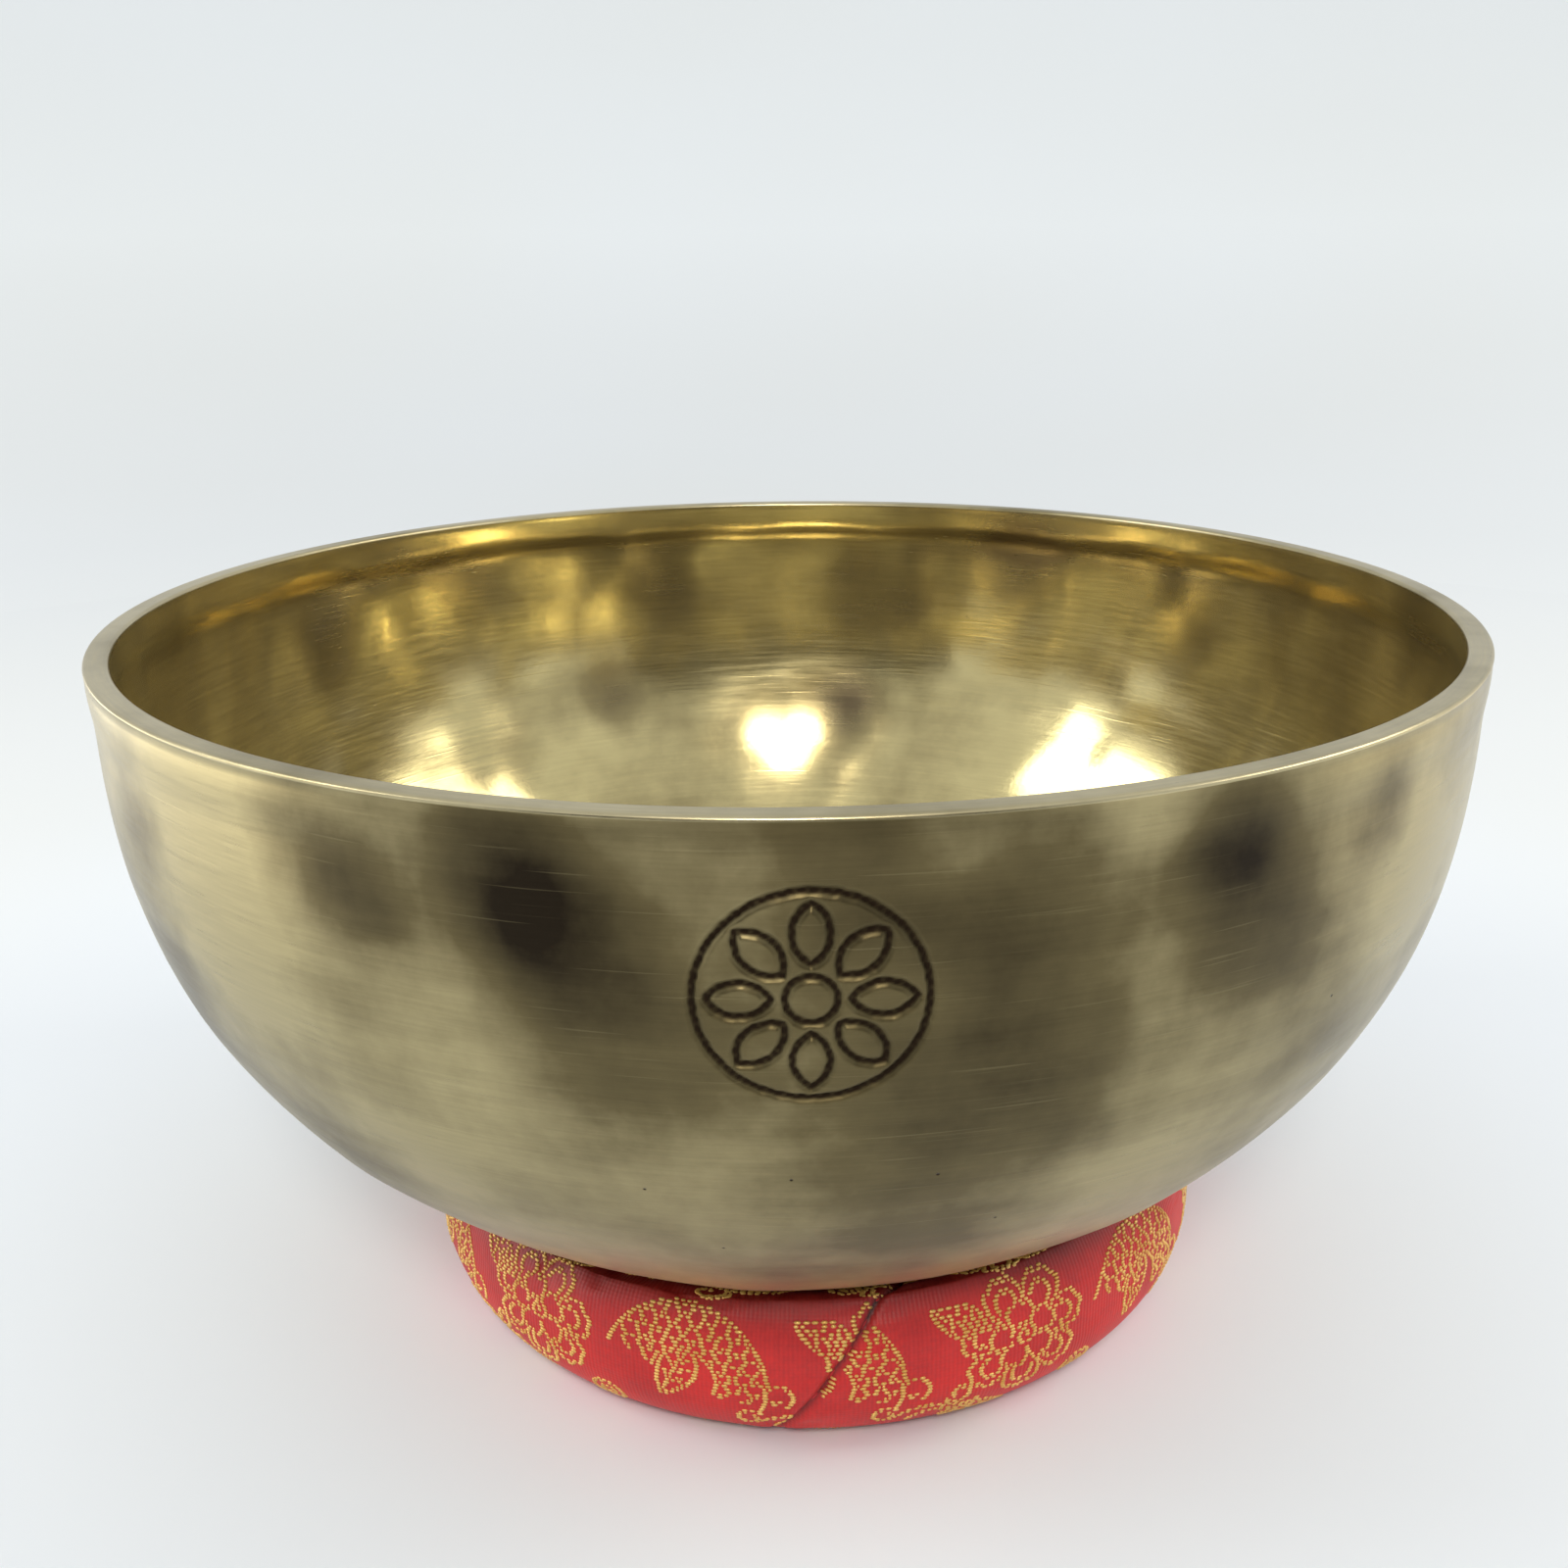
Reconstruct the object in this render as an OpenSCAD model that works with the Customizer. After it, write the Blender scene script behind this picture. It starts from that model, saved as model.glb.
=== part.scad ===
// Hammered bronze singing bowl on a stuffed brocade ring cushion.
// Origin: on the surface below, under the bowl's own axis. +Z up, the medallion faces -Y.

/* [Bowl] */
// Outside diameter of the rim
bowl_d = 230; // [190:1:290]
// Height of the bowl alone, from its base to its rim
bowl_h = 107; // [85:1:140]
// Thickness of the hammered wall
wall_t = 2.4; // [1.6:0.1:3]
// Diameter of the flattened base
base_d = 54; // [44:1:76]
// How far the widest line stands out past the rim, on each side
belly_swell = 0.4; // [0:0.1:3]
// Depth of the widest line below the rim
belly_drop = 6.5; // [5:0.5:16]
// Fullness of the wall near the belly
belly_power = 2.55; // [1.8:0.05:3]
// Fullness of the wall near the base
base_power = 1.6; // [1.4:0.05:2.2]

/* [Rim] */
// Thickness of the rim's flat face
rim_t = 3.8; // [3:0.1:6]
// Height of the thicker band below the rim
rim_band_h = 10; // [6:0.5:16]
// Radius of the rim's rubbed edges
rim_round_r = 0.6; // [0.2:0.1:1]

/* [Medallion] */
// Outside diameter of the engraved ring
medal_d = 28.5; // [22:0.5:36]
// Depth of the medallion's centre below the rim
medal_drop = 22.5; // [20:0.5:50]
// Turn of the medallion round the bowl, from the front
medal_turn = 1; // [-20:1:20]
// Width of an engraved line
line_w = 1; // [0.6:0.1:1.4]
// Depth of an engraved line
line_depth = 0.5; // [0.2:0.1:0.8]
// Number of petals in the rosette
petals = 8; // [5:1:10]
// Metal left between the tips of a petal and the rings
tip_gap = 0.5; // [0.3:0.1:1]

/* [Ring cushion] */
// Outside diameter of the ring
ring_d = 145; // [130:1:175]
// Height of the ring
ring_h = 34; // [30:1:42]
// Width of the stuffed roll
roll_w = 31; // [24:1:34]
// Width of the roll that is pressed flat on the surface below
foot_w = 14; // [8:1:18]
// Height of the bowl's base above the surface below
base_lift = 13.5; // [10:0.5:18]
// How far the ring lies right of the bowl's axis
ring_right = 3; // [0:0.5:5]
// How far the ring lies in front of the bowl's axis
ring_front = 4; // [0:0.5:5]

/* [Cover and filling] */
// Thickness of the brocade and its lining
cover_t = 0.8; // [0.5:0.1:1.5]
// Clearance between the cover and the filling
fill_gap = 0.2; // [0.1:0.1:0.5]
// Clearance between the bowl and the dished top of the cushion
seat_gap = 0.3; // [0.2:0.1:0.6]
// Gap between the cover's two edges, along the closing seam
edge_gap = 0.8; // [0.4:0.1:1.5]

/* [Stitching] */
// Thickness of the sewing thread
thread_d = 0.6; // [0.4:0.1:1]
// Clearance between a stitch and the cover
stitch_gap = 0.1; // [0.05:0.05:0.3]
// Place of the closing seam on the ring's inner side, in degrees below the roll's middle
close_angle = 30; // [20:1:40]
// Length of a stitch across the closing seam
close_len = 3.6; // [2.5:0.1:5]
// Spacing of the stitches along the closing seam
close_pitch = 5; // [3:0.5:10]
// Number of stitches in the slanted joining seam
join_count = 9; // [4:1:14]
// Length of a stitch in the joining seam
join_len = 1.4; // [1:0.1:2]
// Place of the joining seam's middle, in degrees round the ring
join_turn = -88; // [-120:1:-60]
// Slant of the joining seam, in degrees round the ring from end to end
join_slant = 15; // [4:1:24]

/* [Hidden] */
$fn = 96;

// Bowl. One outline runs from the base's edge to the rim, and the wall is measured inward from it.
WALL_STEPS = 20;
LIP_STEPS = 5;
EDGE_STEPS = 4;
TOP_STEP = WALL_STEPS + LIP_STEPS;
belly_r = bowl_d / 2 + belly_swell;
belly_z = bowl_h - belly_drop;
edge_z = bowl_h - rim_round_r;

// Medallion. Its petals lie between a small ring and a large one.
medal_z = bowl_h - medal_drop;
cut_reach = medal_d / 8;
medal_lean = atan2(wall_r(medal_z + 1) - wall_r(medal_z - 1), 2);
hub_d = medal_d / 4;
petal_long = (medal_d - hub_d) / 2 - line_w - 2 * tip_gap;
petal_mid = hub_d / 2 + tip_gap + petal_long / 2;
petal_half = petal_mid * sin(180 / petals) - tip_gap;
petal_bow_r = (pow(petal_long / 2, 2) + pow(petal_half, 2)) / (2 * petal_half);

// Cushion. The roll's section is a circle above a circle, cut flat at the foot.
roll_r = roll_w / 2;
roll_ring_r = ring_d / 2 - roll_r;
low_z = sqrt(pow(roll_r, 2) - pow(foot_w / 2, 2));
high_z = ring_h - roll_r;
seam_z = low_z - roll_r * sin(close_angle);

// Stitches. They lie on the outside of the cover, clear of it by stitch_gap. The joining seam
// climbs the roll from join_low to join_high, measured along the cloth from the height low_z,
// and it stops before it reaches the bowl.
stitch_out = stitch_gap + thread_d / 2;
close_count = floor(2 * PI * (roll_ring_r - roll_r) / close_pitch);
join_low = -0.7 * roll_r;
join_wish = high_z - low_z + 0.5 * roll_r;
join_high = max([for (s = [0 : join_wish / 50 : join_wish]) if (s == 0 || stitch_clear(s)) s]);
join_run = PI * ring_d * join_slant / 360;
join_lean = atan2(join_high - join_low, join_run);

// Radius of the outside of the wall at height z above the base
function wall_r(z) =
    z < belly_z
    ? base_d / 2 + (belly_r - base_d / 2) * pow(1 - pow(1 - z / belly_z, belly_power), 1 / base_power)
    : belly_r - belly_swell * pow((z - belly_z) / belly_drop, 2);

// Height of outline point i. The points crowd together where the base turns into the wall.
function wall_z(i) =
    i <= WALL_STEPS
    ? belly_z * (1 - cos(90 * i / WALL_STEPS))
    : belly_z + (edge_z - belly_z) * (i - WALL_STEPS) / LIP_STEPS;

function wall_point(i) = [wall_r(wall_z(i)), wall_z(i)];

// Unit normal of the outline at point i, pointing away from the bowl
function wall_normal(i) =
    let(a = wall_point(max(i - 1, 0)), b = wall_point(min(i + 1, TOP_STEP)))
    i == 0 ? [0, -1] : [b.y - a.y, a.x - b.x] / norm(b - a);

// The outline moved away from the bowl by out, or into the wall when out is negative
function outline(out) = [for (i = [0 : TOP_STEP]) wall_point(i) + out * wall_normal(i)];

// Thickness of the wall at height z: thin, then a soft shoulder up to the rim's band
function wall_thick(z) =
    let(s = (z - bowl_h + rim_band_h) / (rim_band_h / 2), k = min(max(s, 0), 1))
    wall_t + (rim_t - wall_t) * k * k * (3 - 2 * k);

// Quarter round of the rim, with its centre at c, from angle a to angle a + 90
function edge_arc(c, a) = [
    for (k = [0 : EDGE_STEPS]) c + rim_round_r * [cos(a + 90 * k / EDGE_STEPS), sin(a + 90 * k / EDGE_STEPS)]
];

// Solid wall of the bowl, with no engraving
module bowl_wall() {
    rim_x = wall_r(edge_z);
    outside = [for (i = [0 : TOP_STEP - 1]) wall_point(i)];
    rim = concat(
        edge_arc([rim_x - rim_round_r, edge_z], 0),
        edge_arc([rim_x - rim_t + rim_round_r, edge_z], 90)
    );
    inside = [
        for (i = [TOP_STEP - 1 : -1 : 0]) wall_point(i) - wall_thick(wall_z(i)) * wall_normal(i)
    ];
    rotate_extrude() polygon(concat([[0, 0]], outside, rim, inside, [[0, wall_t]]));
}

// Filled shape of the bowl, moved outward by out, or inward when out is negative
module bowl_filled(out) {
    pts = outline(out);
    rotate_extrude() polygon(concat([[0, pts[0].y]], pts, [[0, pts[TOP_STEP].y]]));
}

// Circle drawn with one engraved line
module ring_2d(d) {
    difference() {
        circle(d = d);
        circle(d = d - 2 * line_w);
    }
}

// Pointed petal that lies along +X from the hub, drawn line_w wide
module petal_2d() {
    translate([petal_mid, 0])
        difference() {
            petal_leaf_2d(petal_bow_r);
            petal_leaf_2d(petal_bow_r - line_w);
        }
}

module petal_leaf_2d(r) {
    intersection_for(side = [-1, 1]) translate([0, side * (petal_bow_r - petal_half)]) circle(r = r);
}

// Engraving tool: the rosette as a prism, cut off at the depth of a line
module medallion_cut() {
    difference() {
        rotate([0, 0, medal_turn])
            translate([0, -wall_r(medal_z), medal_z])
                rotate([90 + medal_lean, 0, 0])
                    translate([0, 0, -cut_reach])
                        linear_extrude(height = 2 * cut_reach) {
                            ring_2d(medal_d);
                            ring_2d(hub_d);
                            for (k = [0 : petals - 1]) rotate(90 + 360 * k / petals) petal_2d();
                        }
        bowl_filled(-line_depth);
    }
}

// Height of the section's centre, and the angle round it, at a length s along the cloth
function roll_centre_z(s) = min(max(low_z + s, low_z), high_z);
function roll_angle(s) = (s - roll_centre_z(s) + low_z) / roll_r * 180 / PI;

// Radius and height of a stitch of the joining seam, at a length s along the cloth
function stitch_place(s) =
    [roll_ring_r, roll_centre_z(s)] + (roll_r + stitch_out) * [cos(roll_angle(s)), sin(roll_angle(s))];

// Whether that stitch, with half its length round it, keeps the seat's clearance from the bowl
function stitch_clear(s) =
    let(p = stitch_place(s), z = p.y - base_lift + join_len / 2,
        r = norm([ring_right, -ring_front] + p.x * [cos(join_turn), sin(join_turn)]))
    z < 0 || r - wall_r(z) > seat_gap + thread_d + join_len / 2;

// Section of the stuffed roll, moved in from the cover's outside by inset
module roll_2d(inset) {
    r = roll_r - inset;
    intersection() {
        union() {
            for (z = [low_z, high_z]) translate([roll_ring_r, z]) circle(r = r);
            translate([roll_ring_r - r, low_z]) square([2 * r, high_z - low_z]);
        }
        translate([0, inset]) square([ring_d, ring_h]);
    }
}

// The ring with its top dished by the bowl, moved in from the cover's outside by inset
module dished_ring(inset) {
    difference() {
        translate([ring_right, -ring_front, 0]) rotate_extrude() roll_2d(inset);
        translate([0, 0, base_lift]) bowl_filled(seat_gap + inset);
    }
}

// One straight stitch of length l, centred, along Z
module stitch(l) {
    cylinder(d = thread_d, h = l, center = true, $fn = 24);
}

// ---- Sub-parts ----

module bowl() {
    color("#8c7a45")
        translate([0, 0, base_lift])
            difference() {
                bowl_wall();
                medallion_cut();
            }
}

module cushion_cover() {
    color("#c8282e")
        difference() {
            dished_ring(0);
            dished_ring(cover_t);
            translate([ring_right, -ring_front, seam_z - edge_gap / 2])
                cylinder(r = roll_ring_r, h = edge_gap);
        }
}

module cushion_filling() {
    color("#e8e0d0") dished_ring(cover_t + fill_gap);
}

// Stitches that close the cover along the lower inner side of the ring
module closing_seam() {
    color("#a81c22")
        translate([ring_right, -ring_front, low_z])
            for (k = [0 : close_count - 1])
                rotate([0, 0, 360 * k / close_count])
                    translate([roll_ring_r, 0, 0])
                        rotate([0, -close_angle, 0])
                            translate([-roll_r - stitch_out, 0, 0])
                                stitch(close_len);
}

// Short stitches along the slanted seam that joins the two ends of the tube
module joining_seam() {
    color("#a81c22")
        for (k = [0 : join_count - 1]) {
            share = k / (join_count - 1);
            s = join_low + (join_high - join_low) * share;
            translate([ring_right, -ring_front, roll_centre_z(s)])
                rotate([0, 0, join_turn + join_slant * (share - 0.5)])
                    translate([roll_ring_r, 0, 0])
                        rotate([0, -roll_angle(s), 0])
                            translate([roll_r + stitch_out, 0, 0])
                                rotate([join_lean, 0, 0])
                                    stitch(join_len);
        }
}

bowl();
cushion_cover();
cushion_filling();
closing_seam();
joining_seam();
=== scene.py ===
import logging
import math
from dataclasses import dataclass, field
from enum import Enum

import bpy
import numpy as np
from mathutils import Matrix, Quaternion, Vector


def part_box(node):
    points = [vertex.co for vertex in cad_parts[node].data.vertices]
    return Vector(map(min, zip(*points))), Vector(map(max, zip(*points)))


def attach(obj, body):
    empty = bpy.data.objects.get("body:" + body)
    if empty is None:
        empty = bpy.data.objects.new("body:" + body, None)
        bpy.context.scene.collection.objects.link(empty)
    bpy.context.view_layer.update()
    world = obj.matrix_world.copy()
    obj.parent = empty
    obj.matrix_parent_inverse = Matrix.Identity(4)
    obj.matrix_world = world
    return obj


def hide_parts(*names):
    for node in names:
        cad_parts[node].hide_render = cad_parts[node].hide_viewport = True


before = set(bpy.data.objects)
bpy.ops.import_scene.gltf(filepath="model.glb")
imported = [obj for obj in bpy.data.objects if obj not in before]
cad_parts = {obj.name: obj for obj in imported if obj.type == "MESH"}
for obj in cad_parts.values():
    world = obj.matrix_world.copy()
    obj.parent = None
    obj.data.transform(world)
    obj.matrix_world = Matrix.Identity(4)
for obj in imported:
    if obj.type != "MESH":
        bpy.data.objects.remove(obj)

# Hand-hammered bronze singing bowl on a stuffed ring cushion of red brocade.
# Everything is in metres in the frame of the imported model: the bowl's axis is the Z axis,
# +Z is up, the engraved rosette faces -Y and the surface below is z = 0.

LOG = logging.getLogger("singing_bowl")
MM = 0.001
TAU = 2.0 * math.pi


class Side(Enum):
    """Sides of the bowl's wall, in the order of its material slots."""

    OUTSIDE = 0
    RIM = 1
    INSIDE = 2


# ---------------------------------------------------------------- small helpers


def linear(code: str) -> tuple[float, float, float, float]:
    """Turn an sRGB hex colour into linear RGBA.

    Args:
        code: Colour such as "#c8282e".

    Returns:
        Linear red, green, blue and an alpha of 1.
    """
    parts = [int(code[i : i + 2], 16) / 255 for i in (1, 3, 5)]
    lin = [c / 12.92 if c <= 0.04045 else ((c + 0.055) / 1.055) ** 2.4 for c in parts]
    return (lin[0], lin[1], lin[2], 1.0)


def smooth(x: np.ndarray | float) -> np.ndarray:
    """Ease x from 0 to 1 with flat ends."""
    k = np.clip(x, 0.0, 1.0)
    return k * k * (3.0 - 2.0 * k)


def add(tree: bpy.types.NodeTree, kind: str, sets: dict | None = None, links: dict | None = None):
    """Add a node with its settings and links.

    Args:
        tree: Node tree of a material, a world or a modifier.
        kind: Blender's name of the node type.
        sets: Node properties by name, and input values by socket name or number.
        links: Output sockets, or nodes whose first output is meant, by input name or number.

    Returns:
        The new node.
    """
    node = tree.nodes.new(kind)
    for key, value in (sets or {}).items():
        if isinstance(key, str) and hasattr(node, key):
            setattr(node, key, value)
        else:
            node.inputs[key].default_value = value
    for key, source in (links or {}).items():
        out = source.outputs[0] if isinstance(source, bpy.types.Node) else source
        tree.links.new(out, node.inputs[key])
    return node


def new_material(name: str) -> tuple[bpy.types.Material, bpy.types.NodeTree]:
    """Make an empty node material and return it with its tree."""
    mat = bpy.data.materials.new(name)
    mat.use_nodes = True
    mat.node_tree.nodes.clear()
    return mat, mat.node_tree


def close_material(tree: bpy.types.NodeTree, shader: bpy.types.Node) -> None:
    """Link a shader to the material's output."""
    add(tree, "ShaderNodeOutputMaterial", links={"Surface": shader})


def mesh_piece(name: str, verts: np.ndarray, faces: list, mats: list) -> bpy.types.Object:
    """Make a smooth mesh object at the origin.

    Args:
        name: Name of the piece.
        verts: Points in metres, one row each.
        faces: Lists of point numbers, in order round each face.
        mats: Materials for the piece's slots.

    Returns:
        The new object, linked to the scene.
    """
    mesh = bpy.data.meshes.new(name)
    mesh.from_pydata(np.asarray(verts, float).tolist(), [], faces)
    mesh.polygons.foreach_set("use_smooth", np.ones(len(mesh.polygons), bool))
    for mat in mats:
        mesh.materials.append(mat)
    mesh.update()
    obj = bpy.data.objects.new(name, mesh)
    bpy.context.collection.objects.link(obj)
    return obj


def point_value(mesh: bpy.types.Mesh, name: str, values: np.ndarray) -> None:
    """Store one number for each point of a mesh, as a named attribute."""
    layer = mesh.attributes.new(name, "FLOAT", "POINT")
    layer.data.foreach_set("value", np.asarray(values, np.float32).ravel())


def point_vector(mesh: bpy.types.Mesh, name: str, values: np.ndarray) -> None:
    """Store one vector for each point of a mesh, as a named attribute."""
    layer = mesh.attributes.new(name, "FLOAT_VECTOR", "POINT")
    layer.data.foreach_set("vector", np.asarray(values, np.float32).ravel())


def set_uv(mesh: bpy.types.Mesh, uv_of_corner: np.ndarray) -> None:
    """Give a mesh a UV map from one pair of numbers for each face corner."""
    layer = mesh.uv_layers.new(name="cloth")
    layer.uv.foreach_set("vector", np.asarray(uv_of_corner, np.float32).ravel())


def spread(values: list[tuple[float, float, float]]) -> np.ndarray:
    """Join runs of evenly spaced numbers.

    Args:
        values: Runs as (start, end, step). Each run leaves its end to the next one.

    Returns:
        The numbers of all the runs, with the last run's end.
    """
    out: list[float] = []
    for start, end, step in values:
        count = max(1, round(abs(end - start) / step))
        out.extend(start + (end - start) * k / count for k in range(count))
    out.append(values[-1][1])
    return np.array(out)


# ---------------------------------------------------------------- finishes


@dataclass(frozen=True)
class BronzeFinish:
    """High-tin bronze, hammered, scraped round and round, then darkened with age.

    The scraping runs round the bowl, so it stretches each reflection up and down the wall.
    """

    name: str
    bright: str
    deep: str
    tarnish: str
    rough_clean: float
    rough_dull: float
    anisotropy: float
    brush: float
    mottle: float
    metallic: float = 1.0
    wax: str = "#2b2118"
    line_pitch: float = 0.3 * MM

    def build(self) -> bpy.types.Material:
        """Build the material.

        Returns:
            A material that reads the point attributes "tarnish" (oxide, and a painted highlight
            where it is negative) and "groove" and the UV map.
        """
        mat, t = new_material(self.name)
        place = add(t, "ShaderNodeTexCoord")
        at = place.outputs["Object"]
        flat = add(t, "ShaderNodeSeparateXYZ", links={0: at})
        map_uv = add(t, "ShaderNodeSeparateXYZ", links={0: place.outputs["UV"]})
        # Scraper lines: about 14 mm long and 0.1 mm apart. They are drawn 0.3 mm apart to show.
        along = add(t, "ShaderNodeCombineXYZ", links={0: flat.outputs[0], 1: flat.outputs[1]})
        run = add(t, "ShaderNodeVectorMath", {"operation": "MULTIPLY", 1: (70, 70, 70)}, {0: along})
        up = add(
            t, "ShaderNodeMath", {"operation": "MULTIPLY", 1: 0.5 / self.line_pitch},
            {0: map_uv.outputs[1]},
        )
        lift = add(t, "ShaderNodeCombineXYZ", links={2: up})
        lines_at = add(t, "ShaderNodeVectorMath", {"operation": "ADD"}, {0: run, 1: lift})
        lines = add(
            t, "ShaderNodeTexNoise", {"Scale": 1.0, "Detail": 3.0, "Roughness": 0.7}, {"Vector": lines_at}
        )
        bands_at = add(
            t, "ShaderNodeVectorMath", {"operation": "MULTIPLY", 1: (0.35, 0.35, 0.09)},
            {0: lines_at},
        )
        bands = add(t, "ShaderNodeTexNoise", {"Scale": 1.0, "Detail": 2.0}, {"Vector": bands_at})
        # Clouds of oxide: 40 mm across, with 7 mm stains inside them.
        cloud = add(
            t,
            "ShaderNodeTexNoise",
            {"Scale": 24.0, "Detail": 2.0, "Roughness": 0.4, "Distortion": 0.3},
            {"Vector": at},
        )
        stain = add(
            t, "ShaderNodeTexNoise", {"Scale": 150.0, "Detail": 4.0, "Roughness": 0.6}, {"Vector": at}
        )
        # "tarnish" darkens the metal with oxide and, where it is negative, brightens it as a painted
        # highlight.
        placed = add(t, "ShaderNodeAttribute", {"attribute_name": "tarnish"})
        groove = add(t, "ShaderNodeAttribute", {"attribute_name": "groove"})
        cloud_part = add(
            t, "ShaderNodeMapRange",
            {"From Min": 0.38, "From Max": 0.72, "To Min": 0.0, "To Max": self.mottle},
            {0: cloud},
        )
        stain_part = add(
            t, "ShaderNodeMapRange", {"From Min": 0.3, "From Max": 0.75, "To Min": -0.07, "To Max": 0.08},
            {0: stain},
        )
        band_part = add(
            t, "ShaderNodeMapRange", {"From Min": 0.3, "From Max": 0.7, "To Min": -0.06, "To Max": 0.06},
            {0: bands},
        )
        sum_1 = add(t, "ShaderNodeMath", {"operation": "ADD"}, {0: cloud_part, 1: stain_part})
        sum_2 = add(t, "ShaderNodeMath", {"operation": "ADD"}, {0: sum_1, 1: band_part})
        dull = add(
            t, "ShaderNodeMath", {"operation": "ADD", "use_clamp": True},
            {0: sum_2, 1: placed.outputs["Fac"]},
        )
        ramp = add(t, "ShaderNodeValToRGB", links={0: dull})
        ramp.color_ramp.elements[0].color = linear(self.bright)
        ramp.color_ramp.elements[1].color = linear(self.tarnish)
        middle = ramp.color_ramp.elements.new(0.45)
        middle.color = linear(self.deep)
        line_tone = add(
            t, "ShaderNodeMapRange",
            {"From Min": 0.25, "From Max": 0.75, "To Min": 1.0 - self.brush, "To Max": 1.0 + self.brush},
            {0: lines},
        )
        toned = add(t, "ShaderNodeVectorMath", {"operation": "SCALE"}, {0: ramp, "Scale": line_tone})
        # Rubbed sides of a groove stay clean, and its floor holds black wax.
        wax = add(t, "ShaderNodeMapRange", {"From Min": 0.5, "From Max": 0.92}, {0: groove.outputs["Fac"]})
        # Casting pits: one in four cells of 9 mm holds a pit 0.4 mm across.
        pit = add(t, "ShaderNodeTexVoronoi", {"Scale": 110.0}, {"Vector": at})
        pit_pick = add(t, "ShaderNodeSeparateColor", links={0: pit.outputs["Color"]})
        pit_some = add(t, "ShaderNodeMath", {"operation": "GREATER_THAN", 1: 0.75}, {0: pit_pick})
        pit_near = add(
            t, "ShaderNodeMapRange", {"From Min": 0.016, "From Max": 0.034, "To Min": 1.0, "To Max": 0.0},
            {0: pit},
        )
        pits = add(t, "ShaderNodeMath", {"operation": "MULTIPLY"}, {0: pit_near, 1: pit_some})
        # Stray scratches, 20 mm long and 0.15 mm wide, slantwise over the scraper lines.
        scratch = None
        for tilt in (0.42, -0.3, 1.2):
            turned = add(
                t, "ShaderNodeMapping",
                {"Rotation": (0.3, tilt, 0.2), "Scale": (55.0, 55.0, 2600.0)}, {"Vector": at},
            )
            thin = add(t, "ShaderNodeTexNoise", {"Scale": 1.0, "Detail": 0.0}, {"Vector": turned})
            line = add(t, "ShaderNodeMapRange", {"From Min": 0.77, "From Max": 0.86}, {0: thin})
            scratch = line if scratch is None else add(
                t, "ShaderNodeMath", {"operation": "MAXIMUM"}, {0: scratch, 1: line}
            )
        rubbed = add(t, "ShaderNodeMath", {"operation": "MULTIPLY", 1: 0.13}, {0: scratch})
        scored = add(t, "ShaderNodeMix", {"data_type": "RGBA"}, {"Factor": rubbed, 6: toned.outputs[0]})
        scored.inputs[7].default_value = linear(self.bright)
        black = add(t, "ShaderNodeMath", {"operation": "MAXIMUM"}, {0: wax, 1: pits})
        dark = add(t, "ShaderNodeMix", {"data_type": "RGBA"}, {"Factor": black, 6: scored.outputs[2]})
        dark.inputs[7].default_value = linear(self.wax)
        rough_line = add(
            t, "ShaderNodeMapRange", {"From Min": 0.2, "From Max": 0.8, "To Min": -0.05, "To Max": 0.05},
            {0: lines},
        )
        rough_base = add(
            t, "ShaderNodeMapRange", {"To Min": self.rough_clean, "To Max": self.rough_dull}, {0: dull}
        )
        rough_sum = add(t, "ShaderNodeMath", {"operation": "ADD"}, {0: rough_base, 1: rough_line})
        rough = add(
            t, "ShaderNodeMath", {"operation": "MULTIPLY_ADD", 1: 0.25, "use_clamp": True},
            {0: groove.outputs["Fac"], 2: rough_sum},
        )
        pores = add(t, "ShaderNodeTexNoise", {"Scale": 900.0, "Detail": 2.0}, {"Vector": at})
        relief_lines = add(
            t, "ShaderNodeBump", {"Strength": 0.25, "Distance": 0.02 * MM}, {"Height": lines}
        )
        relief_pores = add(
            t, "ShaderNodeBump", {"Strength": 0.2, "Distance": 0.05 * MM},
            {"Height": pores, "Normal": relief_lines},
        )
        sunk = add(t, "ShaderNodeMath", {"operation": "MULTIPLY_ADD", 1: 0.15}, {0: scratch, 2: pits})
        relief = add(
            t, "ShaderNodeBump", {"Strength": 0.6, "Distance": 0.08 * MM, "invert": True},
            {"Height": sunk, "Normal": relief_pores},
        )
        tangent = add(t, "ShaderNodeTangent", {"direction_type": "RADIAL", "axis": "Z"})
        shader = add(
            t,
            "ShaderNodeBsdfPrincipled",
            {"Metallic": self.metallic, "Anisotropic": self.anisotropy, "Anisotropic Rotation": 0.25},
            {"Base Color": dark.outputs[2], "Roughness": rough, "Normal": relief, "Tangent": tangent},
        )
        close_material(t, shader)
        return mat


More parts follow.
